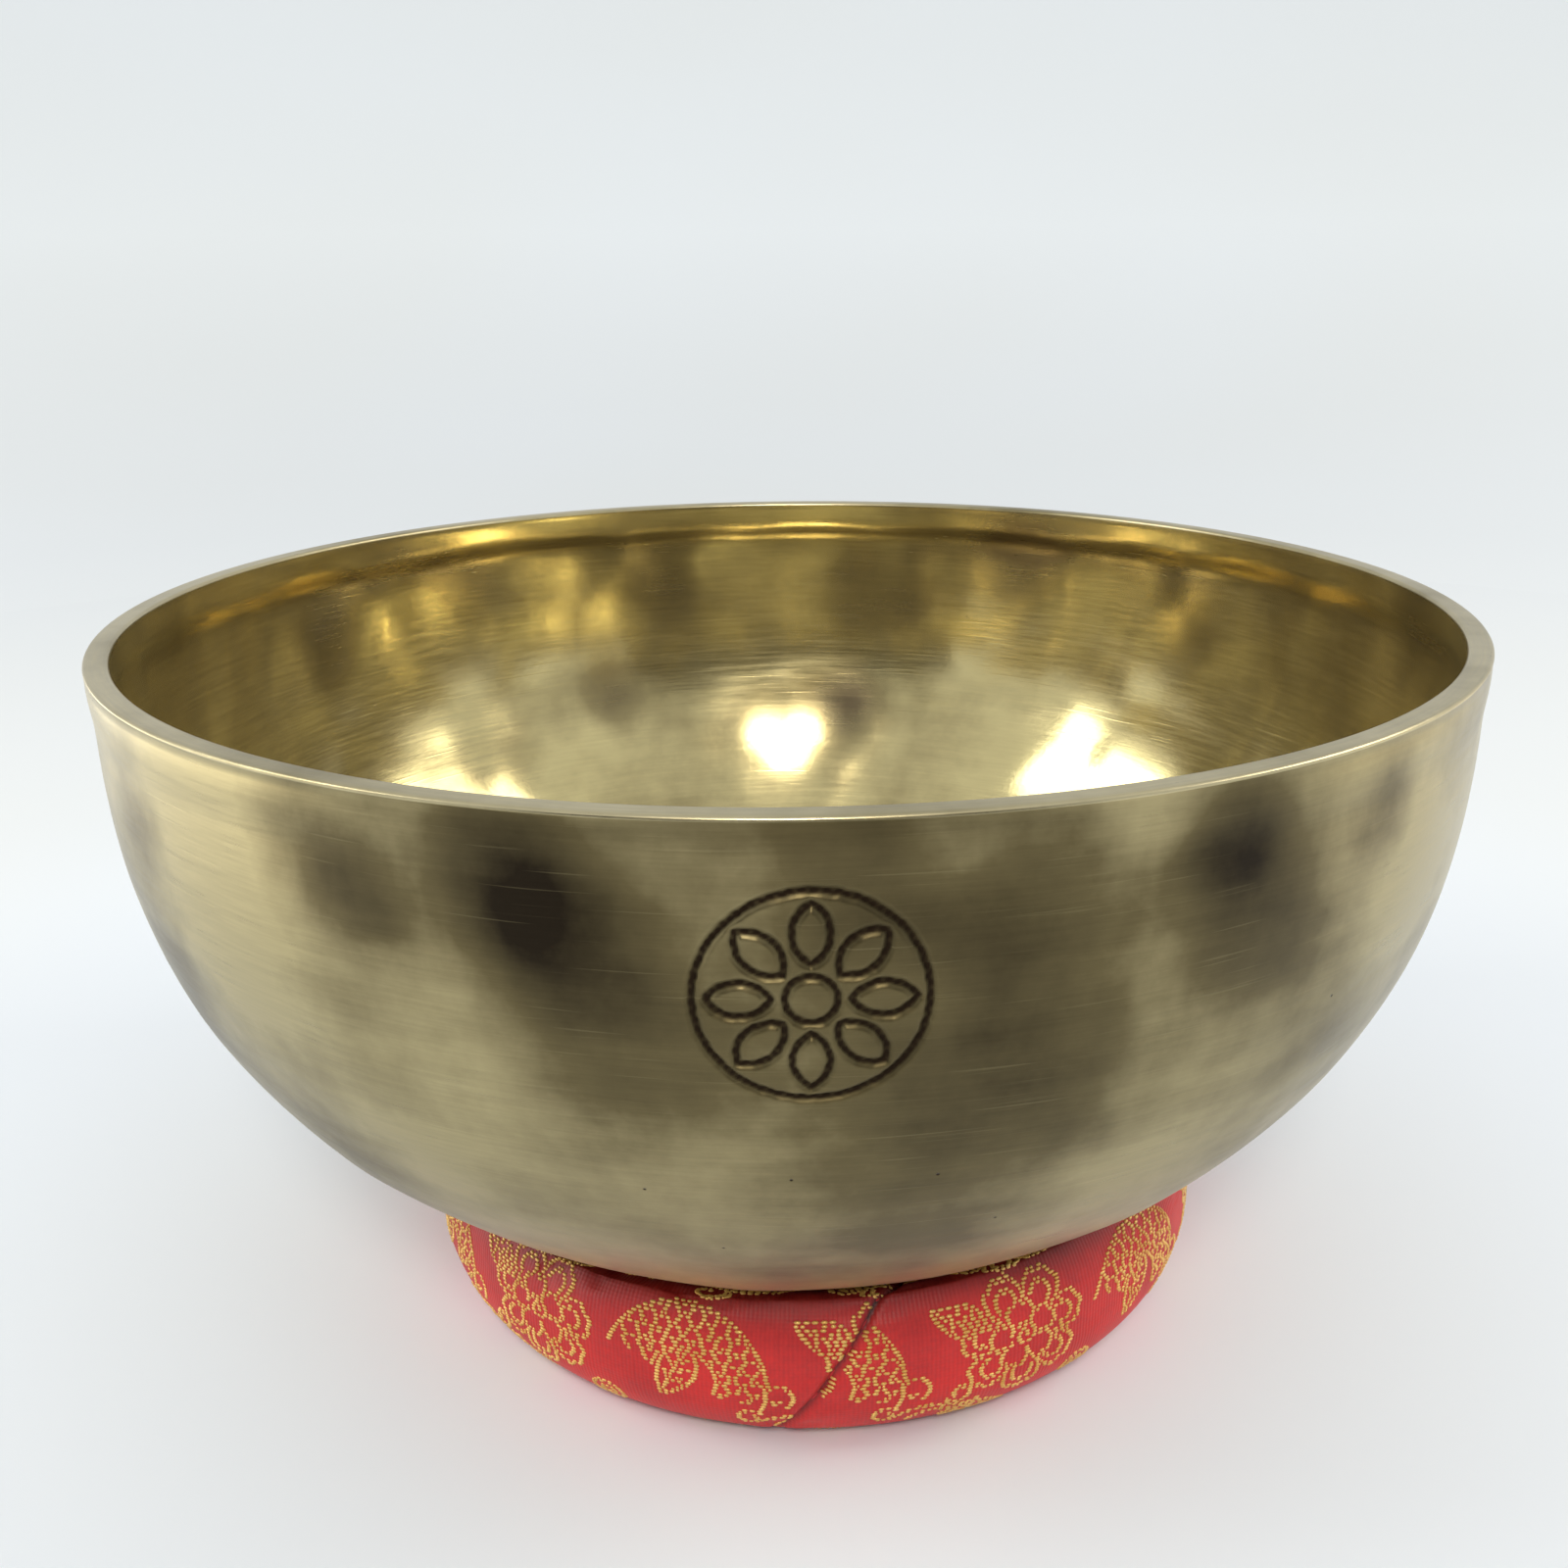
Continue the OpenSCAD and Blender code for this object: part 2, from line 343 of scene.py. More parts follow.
@dataclass(frozen=True)
class SatinGround:
    """Red rayon satin, the ground of the brocade: a soft sheen across fine ribs."""

    name: str = "brocade_red_satin"
    red: str = "#dc2421"
    dark_red: str = "#a51418"
    rib_pitch: float = 0.36 * MM
    pick_pitch: float = 0.65 * MM
    # Colour of the painted shade under the bowl and in the seams' folds.
    painted_shadow_brown: str = "#2e080c"
    sheen: str = "#ff5a48"

    def build(self) -> bpy.types.Material:
        """Build the material, which reads the cloth's own UV map in metres."""
        mat, t = new_material(self.name)
        uv = add(t, "ShaderNodeUVMap", {"uv_map": "cloth"})
        part = add(t, "ShaderNodeSeparateXYZ", links={0: uv})
        # Warp ribs 0.36 mm apart, drawn twice as wide to show.
        turn = add(
            t, "ShaderNodeMath", {"operation": "MULTIPLY", 1: TAU / (2 * self.rib_pitch)},
            {0: part.outputs[0]},
        )
        rib = add(t, "ShaderNodeMath", {"operation": "SINE"}, {0: turn})
        pick_turn = add(
            t, "ShaderNodeMath", {"operation": "MULTIPLY", 1: TAU / self.pick_pitch}, {0: part.outputs[1]}
        )
        pick = add(t, "ShaderNodeMath", {"operation": "SINE"}, {0: pick_turn})
        both = add(t, "ShaderNodeMath", {"operation": "MULTIPLY_ADD", 1: 0.3}, {0: pick, 2: rib})
        slub = add(
            t, "ShaderNodeTexNoise", {"Scale": 900.0, "Detail": 3.0, "Roughness": 0.65}, {"Vector": uv}
        )
        fade = add(t, "ShaderNodeTexNoise", {"Scale": 60.0, "Detail": 3.0}, {"Vector": uv})
        weave = add(t, "ShaderNodeMapRange", {"From Min": -1.4, "From Max": 1.4}, {0: both})
        tone_1 = add(t, "ShaderNodeMath", {"operation": "MULTIPLY_ADD", 1: 0.5}, {0: slub, 2: fade})
        tone_2 = add(t, "ShaderNodeMath", {"operation": "MULTIPLY_ADD", 1: 0.14}, {0: weave, 2: tone_1})
        share = add(t, "ShaderNodeMapRange", {"From Min": 0.45, "From Max": 1.0}, {0: tone_2})
        colour = add(t, "ShaderNodeMix", {"data_type": "RGBA"}, {"Factor": share})
        colour.inputs[6].default_value = linear(self.dark_red)
        colour.inputs[7].default_value = linear(self.red)
        # Painted shade: the cloth is darkened where the bowl's shadow falls on it and in the folds of the
        # seams.
        painted_shade_node = add(t, "ShaderNodeAttribute", {"attribute_name": "painted_shade"})
        shaded_red = add(
            t, "ShaderNodeMix", {"data_type": "RGBA"},
            {"Factor": painted_shade_node.outputs["Fac"], 6: colour.outputs[2]},
        )
        shaded_red.inputs[7].default_value = linear(self.painted_shadow_brown)
        rough = add(t, "ShaderNodeMapRange", {"To Min": 0.42, "To Max": 0.6}, {0: slub})
        bump = add(t, "ShaderNodeBump", {"Strength": 0.28, "Distance": 0.08 * MM}, {"Height": both})
        bump_2 = add(
            t, "ShaderNodeBump", {"Strength": 0.3, "Distance": 0.15 * MM}, {"Height": slub, "Normal": bump}
        )
        shader = add(
            t,
            "ShaderNodeBsdfPrincipled",
            {"Sheen Weight": 0.1, "Sheen Roughness": 0.4, "IOR": 1.5, "Specular IOR Level": 0.5},
            {"Base Color": shaded_red.outputs[2], "Roughness": rough, "Normal": bump_2},
        )
        shader.inputs["Sheen Tint"].default_value = linear(self.sheen)
        close_material(t, shader)
        return mat


@dataclass(frozen=True)
class ThreadFinish:
    """Spun thread: a twist of fibres that gives a broken glint along its length."""

    name: str
    light: str
    shade: str
    rough: float
    metallic: float
    fibre: float = 0.12 * MM

    def build(self) -> bpy.types.Material:
        """Build the material, whose fibres lie on Object coordinates."""
        mat, t = new_material(self.name)
        place = add(t, "ShaderNodeTexCoord")
        at = place.outputs["Object"]
        fibre = add(
            t, "ShaderNodeTexNoise", {"Scale": 0.5 / self.fibre, "Detail": 2.0}, {"Vector": at}
        )
        tone = add(t, "ShaderNodeTexNoise", {"Scale": 220.0, "Detail": 2.0}, {"Vector": at})
        mixed = add(t, "ShaderNodeMath", {"operation": "MULTIPLY_ADD", 1: 0.8}, {0: fibre, 2: tone})
        share = add(t, "ShaderNodeMapRange", {"From Min": 0.6, "From Max": 1.2}, {0: mixed})
        colour = add(t, "ShaderNodeMix", {"data_type": "RGBA"}, {"Factor": share})
        colour.inputs[6].default_value = linear(self.shade)
        colour.inputs[7].default_value = linear(self.light)
        bump = add(t, "ShaderNodeBump", {"Strength": 0.4, "Distance": 0.04 * MM}, {"Height": fibre})
        shader = add(
            t,
            "ShaderNodeBsdfPrincipled",
            {"Roughness": self.rough, "Metallic": self.metallic},
            {"Base Color": colour.outputs[2], "Normal": bump},
        )
        close_material(t, shader)
        return mat


@dataclass(frozen=True)
class TableFinish:
    """Matt white table that fades to a pale grey wall tone away from the object."""

    name: str = "table_matt_white"
    near: str = "#ecf2fa"
    far: str = "#e7eaeb"
    glow: float = 0.0
    haze: str = "#f4fbfa"

    def build(self) -> bpy.types.Material:
        """Build the material."""
        mat, t = new_material(self.name)
        place = add(t, "ShaderNodeTexCoord")
        at = place.outputs["Object"]
        reach = add(t, "ShaderNodeVectorMath", {"operation": "LENGTH"}, {0: at})
        soft = add(
            t, "ShaderNodeMapRange",
            {"interpolation_type": "SMOOTHSTEP", "From Min": 0.16, "From Max": 0.36},
            {0: reach.outputs["Value"]},
        )
        blot = add(t, "ShaderNodeTexNoise", {"Scale": 2.2, "Detail": 1.0}, {"Vector": at})
        shade = add(t, "ShaderNodeMapRange", {"From Min": 0.3, "From Max": 0.7, "To Min": 0.7}, {0: blot})
        share = add(t, "ShaderNodeMath", {"operation": "MULTIPLY"}, {0: soft, 1: shade})
        colour = add(t, "ShaderNodeMix", {"data_type": "RGBA"}, {"Factor": share})
        colour.inputs[6].default_value = linear(self.near)
        colour.inputs[7].default_value = linear(self.far)
        shader = add(t, "ShaderNodeBsdfPrincipled", {"Roughness": 0.75}, {"Base Color": colour.outputs[2]})
        if self.glow:
            height = add(t, "ShaderNodeSeparateXYZ", links={0: at})
            rise = add(t, "ShaderNodeMapRange", {"From Min": 0.0, "From Max": 0.2, "To Max": self.glow},
                       {0: height.outputs[2]})
            shader.inputs["Emission Color"].default_value = linear(self.haze)
            t.links.new(rise.outputs[0], shader.inputs["Emission Strength"])
        close_material(t, shader)
        return mat


# ---------------------------------------------------------------- bowl


@dataclass
class BowlOutline:
    """Outline of the bowl's wall, from the middle of the base to the rim and back inside."""

    rim_r: float
    height: float
    base_z: float
    base_r: float = 27.0 * MM
    swell: float = 0.4 * MM
    belly_drop: float = 6.5 * MM
    belly_power: float = 2.55
    base_power: float = 1.6
    wall_t: float = 2.4 * MM
    rim_t: float = 3.8 * MM
    rim_band: float = 10.0 * MM
    rim_round: float = 0.6 * MM

    @property
    def belly_r(self) -> float:
        """Radius at the widest line."""
        return self.rim_r + self.swell

    def radius(self, z: np.ndarray) -> np.ndarray:
        """Give the outside radius at a height above the base."""
        belly_z = self.height - self.belly_drop
        low = np.clip(z / belly_z, 0.0, 1.0)
        wall = self.base_r + (self.belly_r - self.base_r) * (
            1.0 - (1.0 - low) ** self.belly_power
        ) ** (1.0 / self.base_power)
        high = self.belly_r - self.swell * ((z - belly_z) / self.belly_drop) ** 2
        return np.where(z < belly_z, wall, high)

    def outer(self, steps: int = 900) -> np.ndarray:
        """Give closely spaced (radius, height) points from the base's edge up to the rim."""
        t = np.linspace(0.0, 1.0, steps)
        belly_z = self.height - self.belly_drop
        lip = np.linspace(belly_z, self.height - self.rim_round, 60)[1:]
        z = np.concatenate([belly_z * (1.0 - np.cos(t * math.pi / 2)), lip])
        return np.stack([self.radius(z), z], axis=1)

    def normals(self, line: np.ndarray) -> np.ndarray:
        """Give the unit normals of an outline, pointing to the right of its run."""
        step = np.gradient(line, axis=0)
        step /= np.linalg.norm(step, axis=1)[:, None]
        return np.stack([step[:, 1], -step[:, 0]], axis=1)

    def thickness(self, z: np.ndarray) -> np.ndarray:
        """Give the wall's thickness at a height above the base, with its shoulder below the rim."""
        k = smooth((z - self.height + self.rim_band) / (self.rim_band / 2))
        return self.wall_t + (self.rim_t - self.wall_t) * k

    def whole(self) -> tuple[np.ndarray, dict[str, float]]:
        """Give the whole closed outline with its marks.

        Returns:
            Points (radius, height), and the lengths along the outline at which its parts start.
        """
        out = self.outer()
        nrm = self.normals(out)
        nrm[0] = (0.0, -1.0)
        edge_z = self.height - self.rim_round
        rim_x = float(self.radius(np.array(edge_z)))
        quarter = np.linspace(0.0, math.pi / 2, 9)
        arc_1 = np.stack([rim_x - self.rim_round + self.rim_round * np.cos(quarter),
                          edge_z + self.rim_round * np.sin(quarter)], axis=1)
        arc_2 = np.stack([rim_x - self.rim_t + self.rim_round - self.rim_round * np.sin(quarter),
                          edge_z + self.rim_round * np.cos(quarter)], axis=1)
        inner = (out - self.thickness(out[:, 1])[:, None] * nrm)[::-1][4:]
        inner[-1] = (out[0, 0], self.wall_t)
        parts = [
            np.array([[0.0, 0.0], [self.base_r * 0.5, 0.0]]), out, arc_1[1:], arc_2, inner,
            np.array([[self.base_r * 0.5, self.wall_t], [0.0, self.wall_t]]),
        ]
        line = np.concatenate(parts)
        gone = np.concatenate([[0.0], np.cumsum(np.linalg.norm(np.diff(line, axis=0), axis=1))])
        ends = np.cumsum([len(p) for p in parts]) - 1
        marks = {
            "base_edge": gone[ends[0] + 1], "rim_out": gone[ends[1]], "rim_in": gone[ends[3]],
            "floor_edge": gone[ends[4]], "end": gone[-1],
        }
        return np.column_stack([line, gone]), marks

    def gap_to(self, points: np.ndarray) -> tuple[np.ndarray, np.ndarray]:
        """Measure how far points lie outside the bowl.

        Args:
            points: Points in the frame, one row each.

        Returns:
            Signed distance from the outside of the bowl, and the outward unit vectors.
        """
        line = np.concatenate([[[0.0, 0.0], [self.base_r * 0.5, 0.0]], self.outer(200)[::2]])
        quarters = np.arange(4)[None, :, None] / 4
        dense = (line[:-1, None] + (line[1:, None] - line[:-1, None]) * quarters).reshape(-1, 2)
        nrm = self.normals(dense)
        r = np.hypot(points[:, 0], points[:, 1])
        here = np.stack([r, points[:, 2] - self.base_z], axis=1)
        gaps = np.empty(len(points))
        ways = np.empty((len(points), 3))
        for start in range(0, len(points), 20000):
            part = here[start : start + 20000]
            far = np.linalg.norm(part[:, None, :] - dense[None, :, :], axis=2)
            near = far.argmin(axis=1)
            off = part - dense[near]
            way = nrm[near]
            gaps[start : start + 20000] = np.einsum("ij,ij->i", off, way)
            unit = points[start : start + 20000, :2] / np.maximum(r[start : start + 20000], 1e-9)[:, None]
            ways[start : start + 20000] = np.column_stack([unit * way[:, :1], way[:, 1]])
        return gaps, ways


@dataclass
class Rosette:
    """Engraved rosette: a ring, a small ring and pointed petals between them."""

    across: float = 28.5 * MM
    drop: float = 22.5 * MM
    turn: float = math.radians(1.0)
    line: float = 1.0 * MM
    depth: float = 0.5 * MM
    petals: int = 8
    tip_gap: float = 0.5 * MM

    def cut(self, x: np.ndarray, y: np.ndarray) -> np.ndarray:
        """Give how deep the graver went, from 0 to 1.

        Args:
            x: Place across the rosette, in metres.
            y: Place up the wall, in metres.

        Returns:
            Share of the full depth at each place.
        """
        # The graver was pushed by hand, so its line wanders by some hundredths of a millimetre.
        wave_1 = np.sin(x / MM * 2.3 + np.sin(y / MM * 1.7) * 2.0)
        wave_2 = np.sin(y / MM * 3.1 + x / MM * 1.3)
        wander = 0.07 * MM * (wave_1 * 0.6 + wave_2 * 0.4)
        hub = self.across / 4
        long = (self.across - hub) / 2 - self.line - 2 * self.tip_gap
        middle = hub / 2 + self.tip_gap + long / 2
        half = middle * math.sin(math.pi / self.petals) - self.tip_gap
        bow = ((long / 2) ** 2 + half**2) / (2 * half)
        rho = np.hypot(x, y)
        centre_line = np.minimum(
            np.abs(rho - self.across / 2 + self.line / 2), np.abs(rho - hub / 2 + self.line / 2)
        )
        step = TAU / self.petals
        angle = np.arctan2(y, x) - math.pi / 2
        angle = angle - np.round(angle / step) * step
        px = rho * np.cos(angle) - middle
        py = np.abs(rho * np.sin(angle))
        leaf = np.hypot(px, py + bow - half) - bow
        centre_line = np.minimum(centre_line, np.abs(leaf + self.line / 2))
        off = centre_line + wander
        # A round-nosed graver leaves sloping sides, and its pushes leave small steps in the depth.
        chatter = 1.0 - 0.16 * (0.5 + 0.5 * np.sin(x / MM * 4.4) * np.sin(y / MM * 4.4 + 1.0))
        return (1.0 - smooth((off - 0.2 * MM) / (0.66 * MM))) * chatter


@dataclass
class HammeredBowl:
    """The bowl: a hammered wall turned about Z, with its engraved rosette."""

    outline: BowlOutline
    rosette: Rosette = field(default_factory=Rosette)
    fine: float = 0.26 * MM
    coarse: float = 2.8 * MM
    seed: int = 7
    inner_gain: float = 1.35
    lip_gain: float = 0.3
    lip_drop: float = 8.5 * MM
    lip_wide: float = 3.2 * MM

    # Stains as (degrees round from the front, depth below the rim, radius, strength);
    # lengths are in millimetres. A positive strength is dark oxide. A negative strength brightens
    # the metal: in part rubbed metal, in part a painted highlight, as under the rim on the left.
    stains_and_highlights: tuple[tuple[float, float, float, float], ...] = (
        (2.0, 22.0, 42.0, 0.44), (-17.0, 7.0, 10.0, 0.64), (-13.5, 17.0, 11.0, 0.55),
        (-27.0, 12.0, 8.0, 0.5), (30.0, 18.0, 12.0, 0.42),
        (-9.0, 32.0, 13.0, 0.22), (14.0, 30.0, 14.0, 0.15), (41.0, 10.0, 8.0, 0.4),
        (9.0, 3.0, 7.0, -0.3), (-4.0, 6.0, 9.0, -0.12), (20.5, 3.0, 6.0, -0.25), (-40.0, 4.0, 12.0, -0.35),
        (-38.0, 26.0, 14.0, -0.2), (-52.0, 14.0, 9.0, 0.35), (48.0, 26.0, 14.0, -0.3),
        (27.0, 7.0, 9.0, 0.5),
        (-2.0, 50.0, 18.0, -0.12), (26.0, 45.0, 16.0, -0.2), (-26.0, 47.0, 18.0, -0.18),
        (95.0, 20.0, 22.0, 0.4), (76.0, 9.0, 11.0, 0.3), (113.0, 34.0, 14.0, 0.25),
        (140.0, 24.0, 24.0, 0.35), (185.0, 14.0, 20.0, 0.42), (200.0, 30.0, 12.0, 0.25),
        (226.0, 26.0, 22.0, 0.3), (268.0, 16.0, 20.0, 0.4), (283.0, 30.0, 12.0, 0.3),
        (304.0, 34.0, 18.0, 0.28), (118.0, 8.0, 14.0, -0.3), (162.0, 42.0, 16.0, -0.2),
        (205.0, 46.0, 18.0, -0.2), (250.0, 6.0, 14.0, -0.3), (66.0, 36.0, 16.0, -0.2),
    )
    # Stains of the inside, in the same form: dark oxide, and brighter patches painted on the far wall where
    # the highlights of the lights fall.
    inner_stains_and_highlights: tuple[tuple[float, float, float, float], ...] = (
        (170.0, 22.0, 13.0, 0.5), (196.0, 18.0, 9.0, 0.35), (222.0, 10.0, 9.0, 0.3),
        (150.0, 12.0, 12.0, 0.35), (240.0, 22.0, 9.0, 0.5), (128.0, 20.0, 12.0, 0.35),
        (203.0, 44.0, 8.0, 0.4), (172.0, 48.0, 9.0, 0.4), (140.0, 34.0, 6.0, 0.25),
        (155.0, 31.0, 8.0, -0.35), (229.0, 23.0, 10.0, -0.6), (213.0, 32.0, 9.0, -0.4),
        (184.0, 34.0, 8.0, -0.5), (188.0, 14.0, 7.0, -0.5), (30.0, 28.0, 20.0, 0.35),
        (330.0, 20.0, 18.0, 0.35), (75.0, 22.0, 18.0, 0.4), (288.0, 22.0, 18.0, 0.35),
        (50.0, 50.0, 16.0, 0.3), (310.0, 52.0, 16.0, 0.3), (0.0, 60.0, 18.0, 0.25),
        (100.0, 44.0, 14.0, 0.3), (262.0, 46.0, 14.0, 0.3),
    )

    def rows(self) -> tuple[np.ndarray, np.ndarray, dict[str, float]]:
        """Give the outline's rows.

        Returns:
            Rows (radius, height, length along the outline), their normals, and the marks.
        """
        line, marks = self.outline.whole()
        rim = marks["rim_out"]
        low = rim - self.rosette.drop - self.rosette.across / 2 - 1.2 * MM
        high = rim - self.rosette.drop + self.rosette.across / 2 + 1.8 * MM
        stops = spread([
            (0.0, marks["base_edge"], 4.0 * MM), (marks["base_edge"], low, self.coarse),
            (low, high, self.fine), (high, rim, 1.2 * MM),
            (rim, rim + 0.95 * MM, 0.24 * MM), (rim + 0.95 * MM, marks["rim_in"] - 0.95 * MM, 0.9 * MM),
            (marks["rim_in"] - 0.95 * MM, marks["rim_in"], 0.24 * MM),
            (marks["rim_in"], marks["rim_in"] + 14.0 * MM, 1.2 * MM),
            (marks["rim_in"] + 14.0 * MM, marks["floor_edge"], 2.8 * MM),
            (marks["floor_edge"], marks["end"], 4.0 * MM),
        ])
        radius = np.interp(stops, line[:, 2], line[:, 0])
        height = np.interp(stops, line[:, 2], line[:, 1])
        eps = 0.25 * MM
        back = np.clip(stops - eps, 0.0, marks["end"])
        fore = np.clip(stops + eps, 0.0, marks["end"])
        dr = np.interp(fore, line[:, 2], line[:, 0]) - np.interp(back, line[:, 2], line[:, 0])
        dz = np.interp(fore, line[:, 2], line[:, 1]) - np.interp(back, line[:, 2], line[:, 1])
        size = np.hypot(dr, dz)
        return np.column_stack([radius, height, stops]), np.column_stack([dz / size, -dr / size]), marks

    def columns(self) -> np.ndarray:
        """Give the columns' angles from the front toward +X, close together at the rosette."""
        half = (self.rosette.across / 2 + 1.3 * MM) / self.outline.rim_r
        turn = self.rosette.turn
        step = self.coarse / self.outline.rim_r
        angles = spread([
            (turn - half, turn + half, self.fine / self.outline.rim_r),
            (turn + half, turn - half + TAU, step),
        ])
        return angles[:-1]

    def hammering(self, angle: np.ndarray, length: np.ndarray, marks: dict[str, float]) -> np.ndarray:
        """Give how far the hammer moved each point along the outward normal of the wall's skin.

        Args:
            angle: Angles of the points, one column for each.
            length: Lengths along the outline.
            marks: Lengths at which the outline's parts start.

        Returns:
            Displacement in metres, never outward on the outside.
        """
        rng = np.random.default_rng(self.seed)
        move = np.zeros(angle.shape)
        rim_out, rim_in = marks["rim_out"], marks["rim_in"]
        outside = length <= rim_out
        inside = length >= rim_in
        # Blows as (points, start of the side, number, radius of the hammer's face, softness, depth).
        settings = (
            (outside, rim_out, 330, 420.0 * MM, 0.05 * MM, 0.10 * MM),
            (inside, rim_in, 300, 150.0 * MM, 0.03 * MM, 0.22 * MM),
        )
        for where, start, count, face_r, soft, deep in settings:
            depth = np.abs(length - start)[where]
            turn = angle[where]
            reach = depth.max()
            down = reach * (1.0 - np.sqrt(rng.uniform(0.0, 1.0, count)) * 0.98)
            around = rng.uniform(0.0, TAU, count)
            lift = rng.normal(0.0, deep * 0.5, count)
            bend = face_r * rng.uniform(0.75, 1.5, count)
            spin = np.cos(np.clip(depth / reach * 1.45, 0.0, 1.45))
            girth = self.outline.rim_r * np.maximum(0.1, spin)
            total = np.zeros(depth.shape)
            for at, below, high, curve in zip(around, down, lift, bend):
                gap = np.angle(np.exp(1j * (turn - at))) * girth
                dish = (gap**2 + (depth - below) ** 2) / (2.0 * curve) + high
                total += np.exp(-np.minimum(dish, 2.0 * MM) / soft)
            floor = -soft * np.log(total + 1e-12)
            floor = np.clip(floor, -0.8 * MM, 1.0 * MM)
            fade = smooth(depth / (9.0 * MM))
            move[where] = (floor - floor.max()) * fade
        wobble = 0.10 * MM * np.sin(3 * angle + 0.7) + 0.07 * MM * np.sin(5 * angle + 2.1)
        move[outside] += (wobble[outside] - 0.17 * MM) * smooth(length[outside] / (60.0 * MM))
        return move

    def stains_and_highlights_at(self, angle: np.ndarray, depth: np.ndarray, places: tuple) -> np.ndarray:
        """Add up the placed stains and painted highlights at the given angles and depths below the rim."""
        total = np.zeros(angle.shape)
        for deg, down, size, gain in places:
            gap = np.angle(np.exp(1j * (angle - math.radians(deg)))) * self.outline.rim_r
            far = (gap**2 + (depth - down * MM) ** 2) / (size * MM) ** 2
            total += gain * np.exp(-(far**1.35))
        return total

    def build(self, mats: list) -> bpy.types.Object:
        """Build the bowl's mesh.

        Args:
            mats: Materials of the outside, the rim and the inside.

        Returns:
            The bowl's object.
        """
        rows, nrm, marks = self.rows()
        angles = self.columns()
        n_row, n_col = len(rows), len(angles)
        ang = np.broadcast_to(angles[None, :], (n_row, n_col))
        length = np.broadcast_to(rows[:, 2:3], (n_row, n_col))
        radial = np.stack([np.sin(ang), -np.cos(ang)], axis=2)
        move = self.hammering(ang, length, marks)
        r = rows[:, 0:1] + np.zeros(ang.shape)
        z = rows[:, 1:2] + self.outline.base_z + np.zeros(ang.shape)
        groove = np.zeros(ang.shape)
        medal_z = self.outline.height - self.rosette.drop
        here = np.array([medal_z - 1.0 * MM, medal_z, medal_z + 1.0 * MM])
        wall = self.outline.radius(here)
        lean = math.atan2(wall[2] - wall[0], 2.0 * MM)
        side = r * np.sin(ang - self.rosette.turn)
        front = r * np.cos(ang - self.rosette.turn)
        rise = (front - wall[1]) * math.sin(lean) + (z - self.outline.base_z - medal_z) * math.cos(lean)
        outside = length <= marks["rim_out"]
        near = outside & (front > 0) & (np.hypot(side, rise) < self.rosette.across * 0.56)
        groove[near] = self.rosette.cut(side[near], rise[near])
        move = move - groove * self.rosette.depth
        rr = r + move * nrm[:, 0:1]
        zz = z + move * nrm[:, 1:2]
        pts = np.stack([radial[..., 0] * rr, radial[..., 1] * rr, zz], axis=2)
        ends = [pts[row].mean(axis=0, keepdims=True) for row in (0, -1)]
        verts = [ends[0], pts[1:-1].reshape(-1, 3), ends[1]]
        body = n_row - 2
        grid = 1 + np.arange(body * n_col).reshape(body, n_col)
        nxt = np.roll(grid, -1, axis=1)
        quads = np.stack([grid[:-1], nxt[:-1], nxt[1:], grid[1:]], axis=2).reshape(-1, 4)
        last = 1 + body * n_col
        faces = [[0, int(b), int(a)] for a, b in zip(grid[0], nxt[0])]
        faces += quads.tolist()
        faces += [[last, int(a), int(b)] for a, b in zip(grid[-1], nxt[-1])]
        obj = mesh_piece("bowl_hammered", np.concatenate(verts), faces, mats)
        mesh = obj.data
        flat_len = np.concatenate([[0.0], length[1:-1].ravel(), [marks["end"]]])
        depth = np.where(length <= marks["rim_out"], marks["rim_out"] - length, length - marks["rim_in"])
        # Placed stains: dark oxide, and painted highlights where the strength is negative; both go into
        # "tarnish".
        inner = self.inner_gain * self.stains_and_highlights_at(ang, depth, self.inner_stains_and_highlights)
        tarnish = np.where(outside, self.stains_and_highlights_at(ang, depth, self.stains_and_highlights), inner)
        # The inside is darker in a ring along the band's lower edge.
        lip = self.lip_gain * np.exp(-(((depth - self.lip_drop) / self.lip_wide) ** 2))
        lip = lip * (length > marks["rim_in"])
        tarnish = tarnish + lip
        point_value(mesh, "tarnish", np.concatenate([[0.0], tarnish[1:-1].ravel(), [0.0]]))
        point_value(mesh, "groove", np.concatenate([[0.0], groove[1:-1].ravel(), [0.0]]))
        corner = np.empty(len(mesh.loops), np.int64)
        mesh.loops.foreach_get("vertex_index", corner)
        flat_ang = np.concatenate([[0.0], ang[1:-1].ravel(), [0.0]])
        set_uv(mesh, np.stack([flat_ang[corner] * self.outline.rim_r, flat_len[corner]], axis=1))
        middle = (rows[:-1, 2] + rows[1:, 2]) / 2
        side_of = np.where(middle > marks["rim_out"], Side.RIM.value, Side.OUTSIDE.value)
        side_of[middle > marks["rim_in"]] = Side.INSIDE.value
        mesh.polygons.foreach_set("material_index", np.repeat(side_of, n_col))
        mesh.update()
        return obj


# ---------------------------------------------------------------- ring cushion


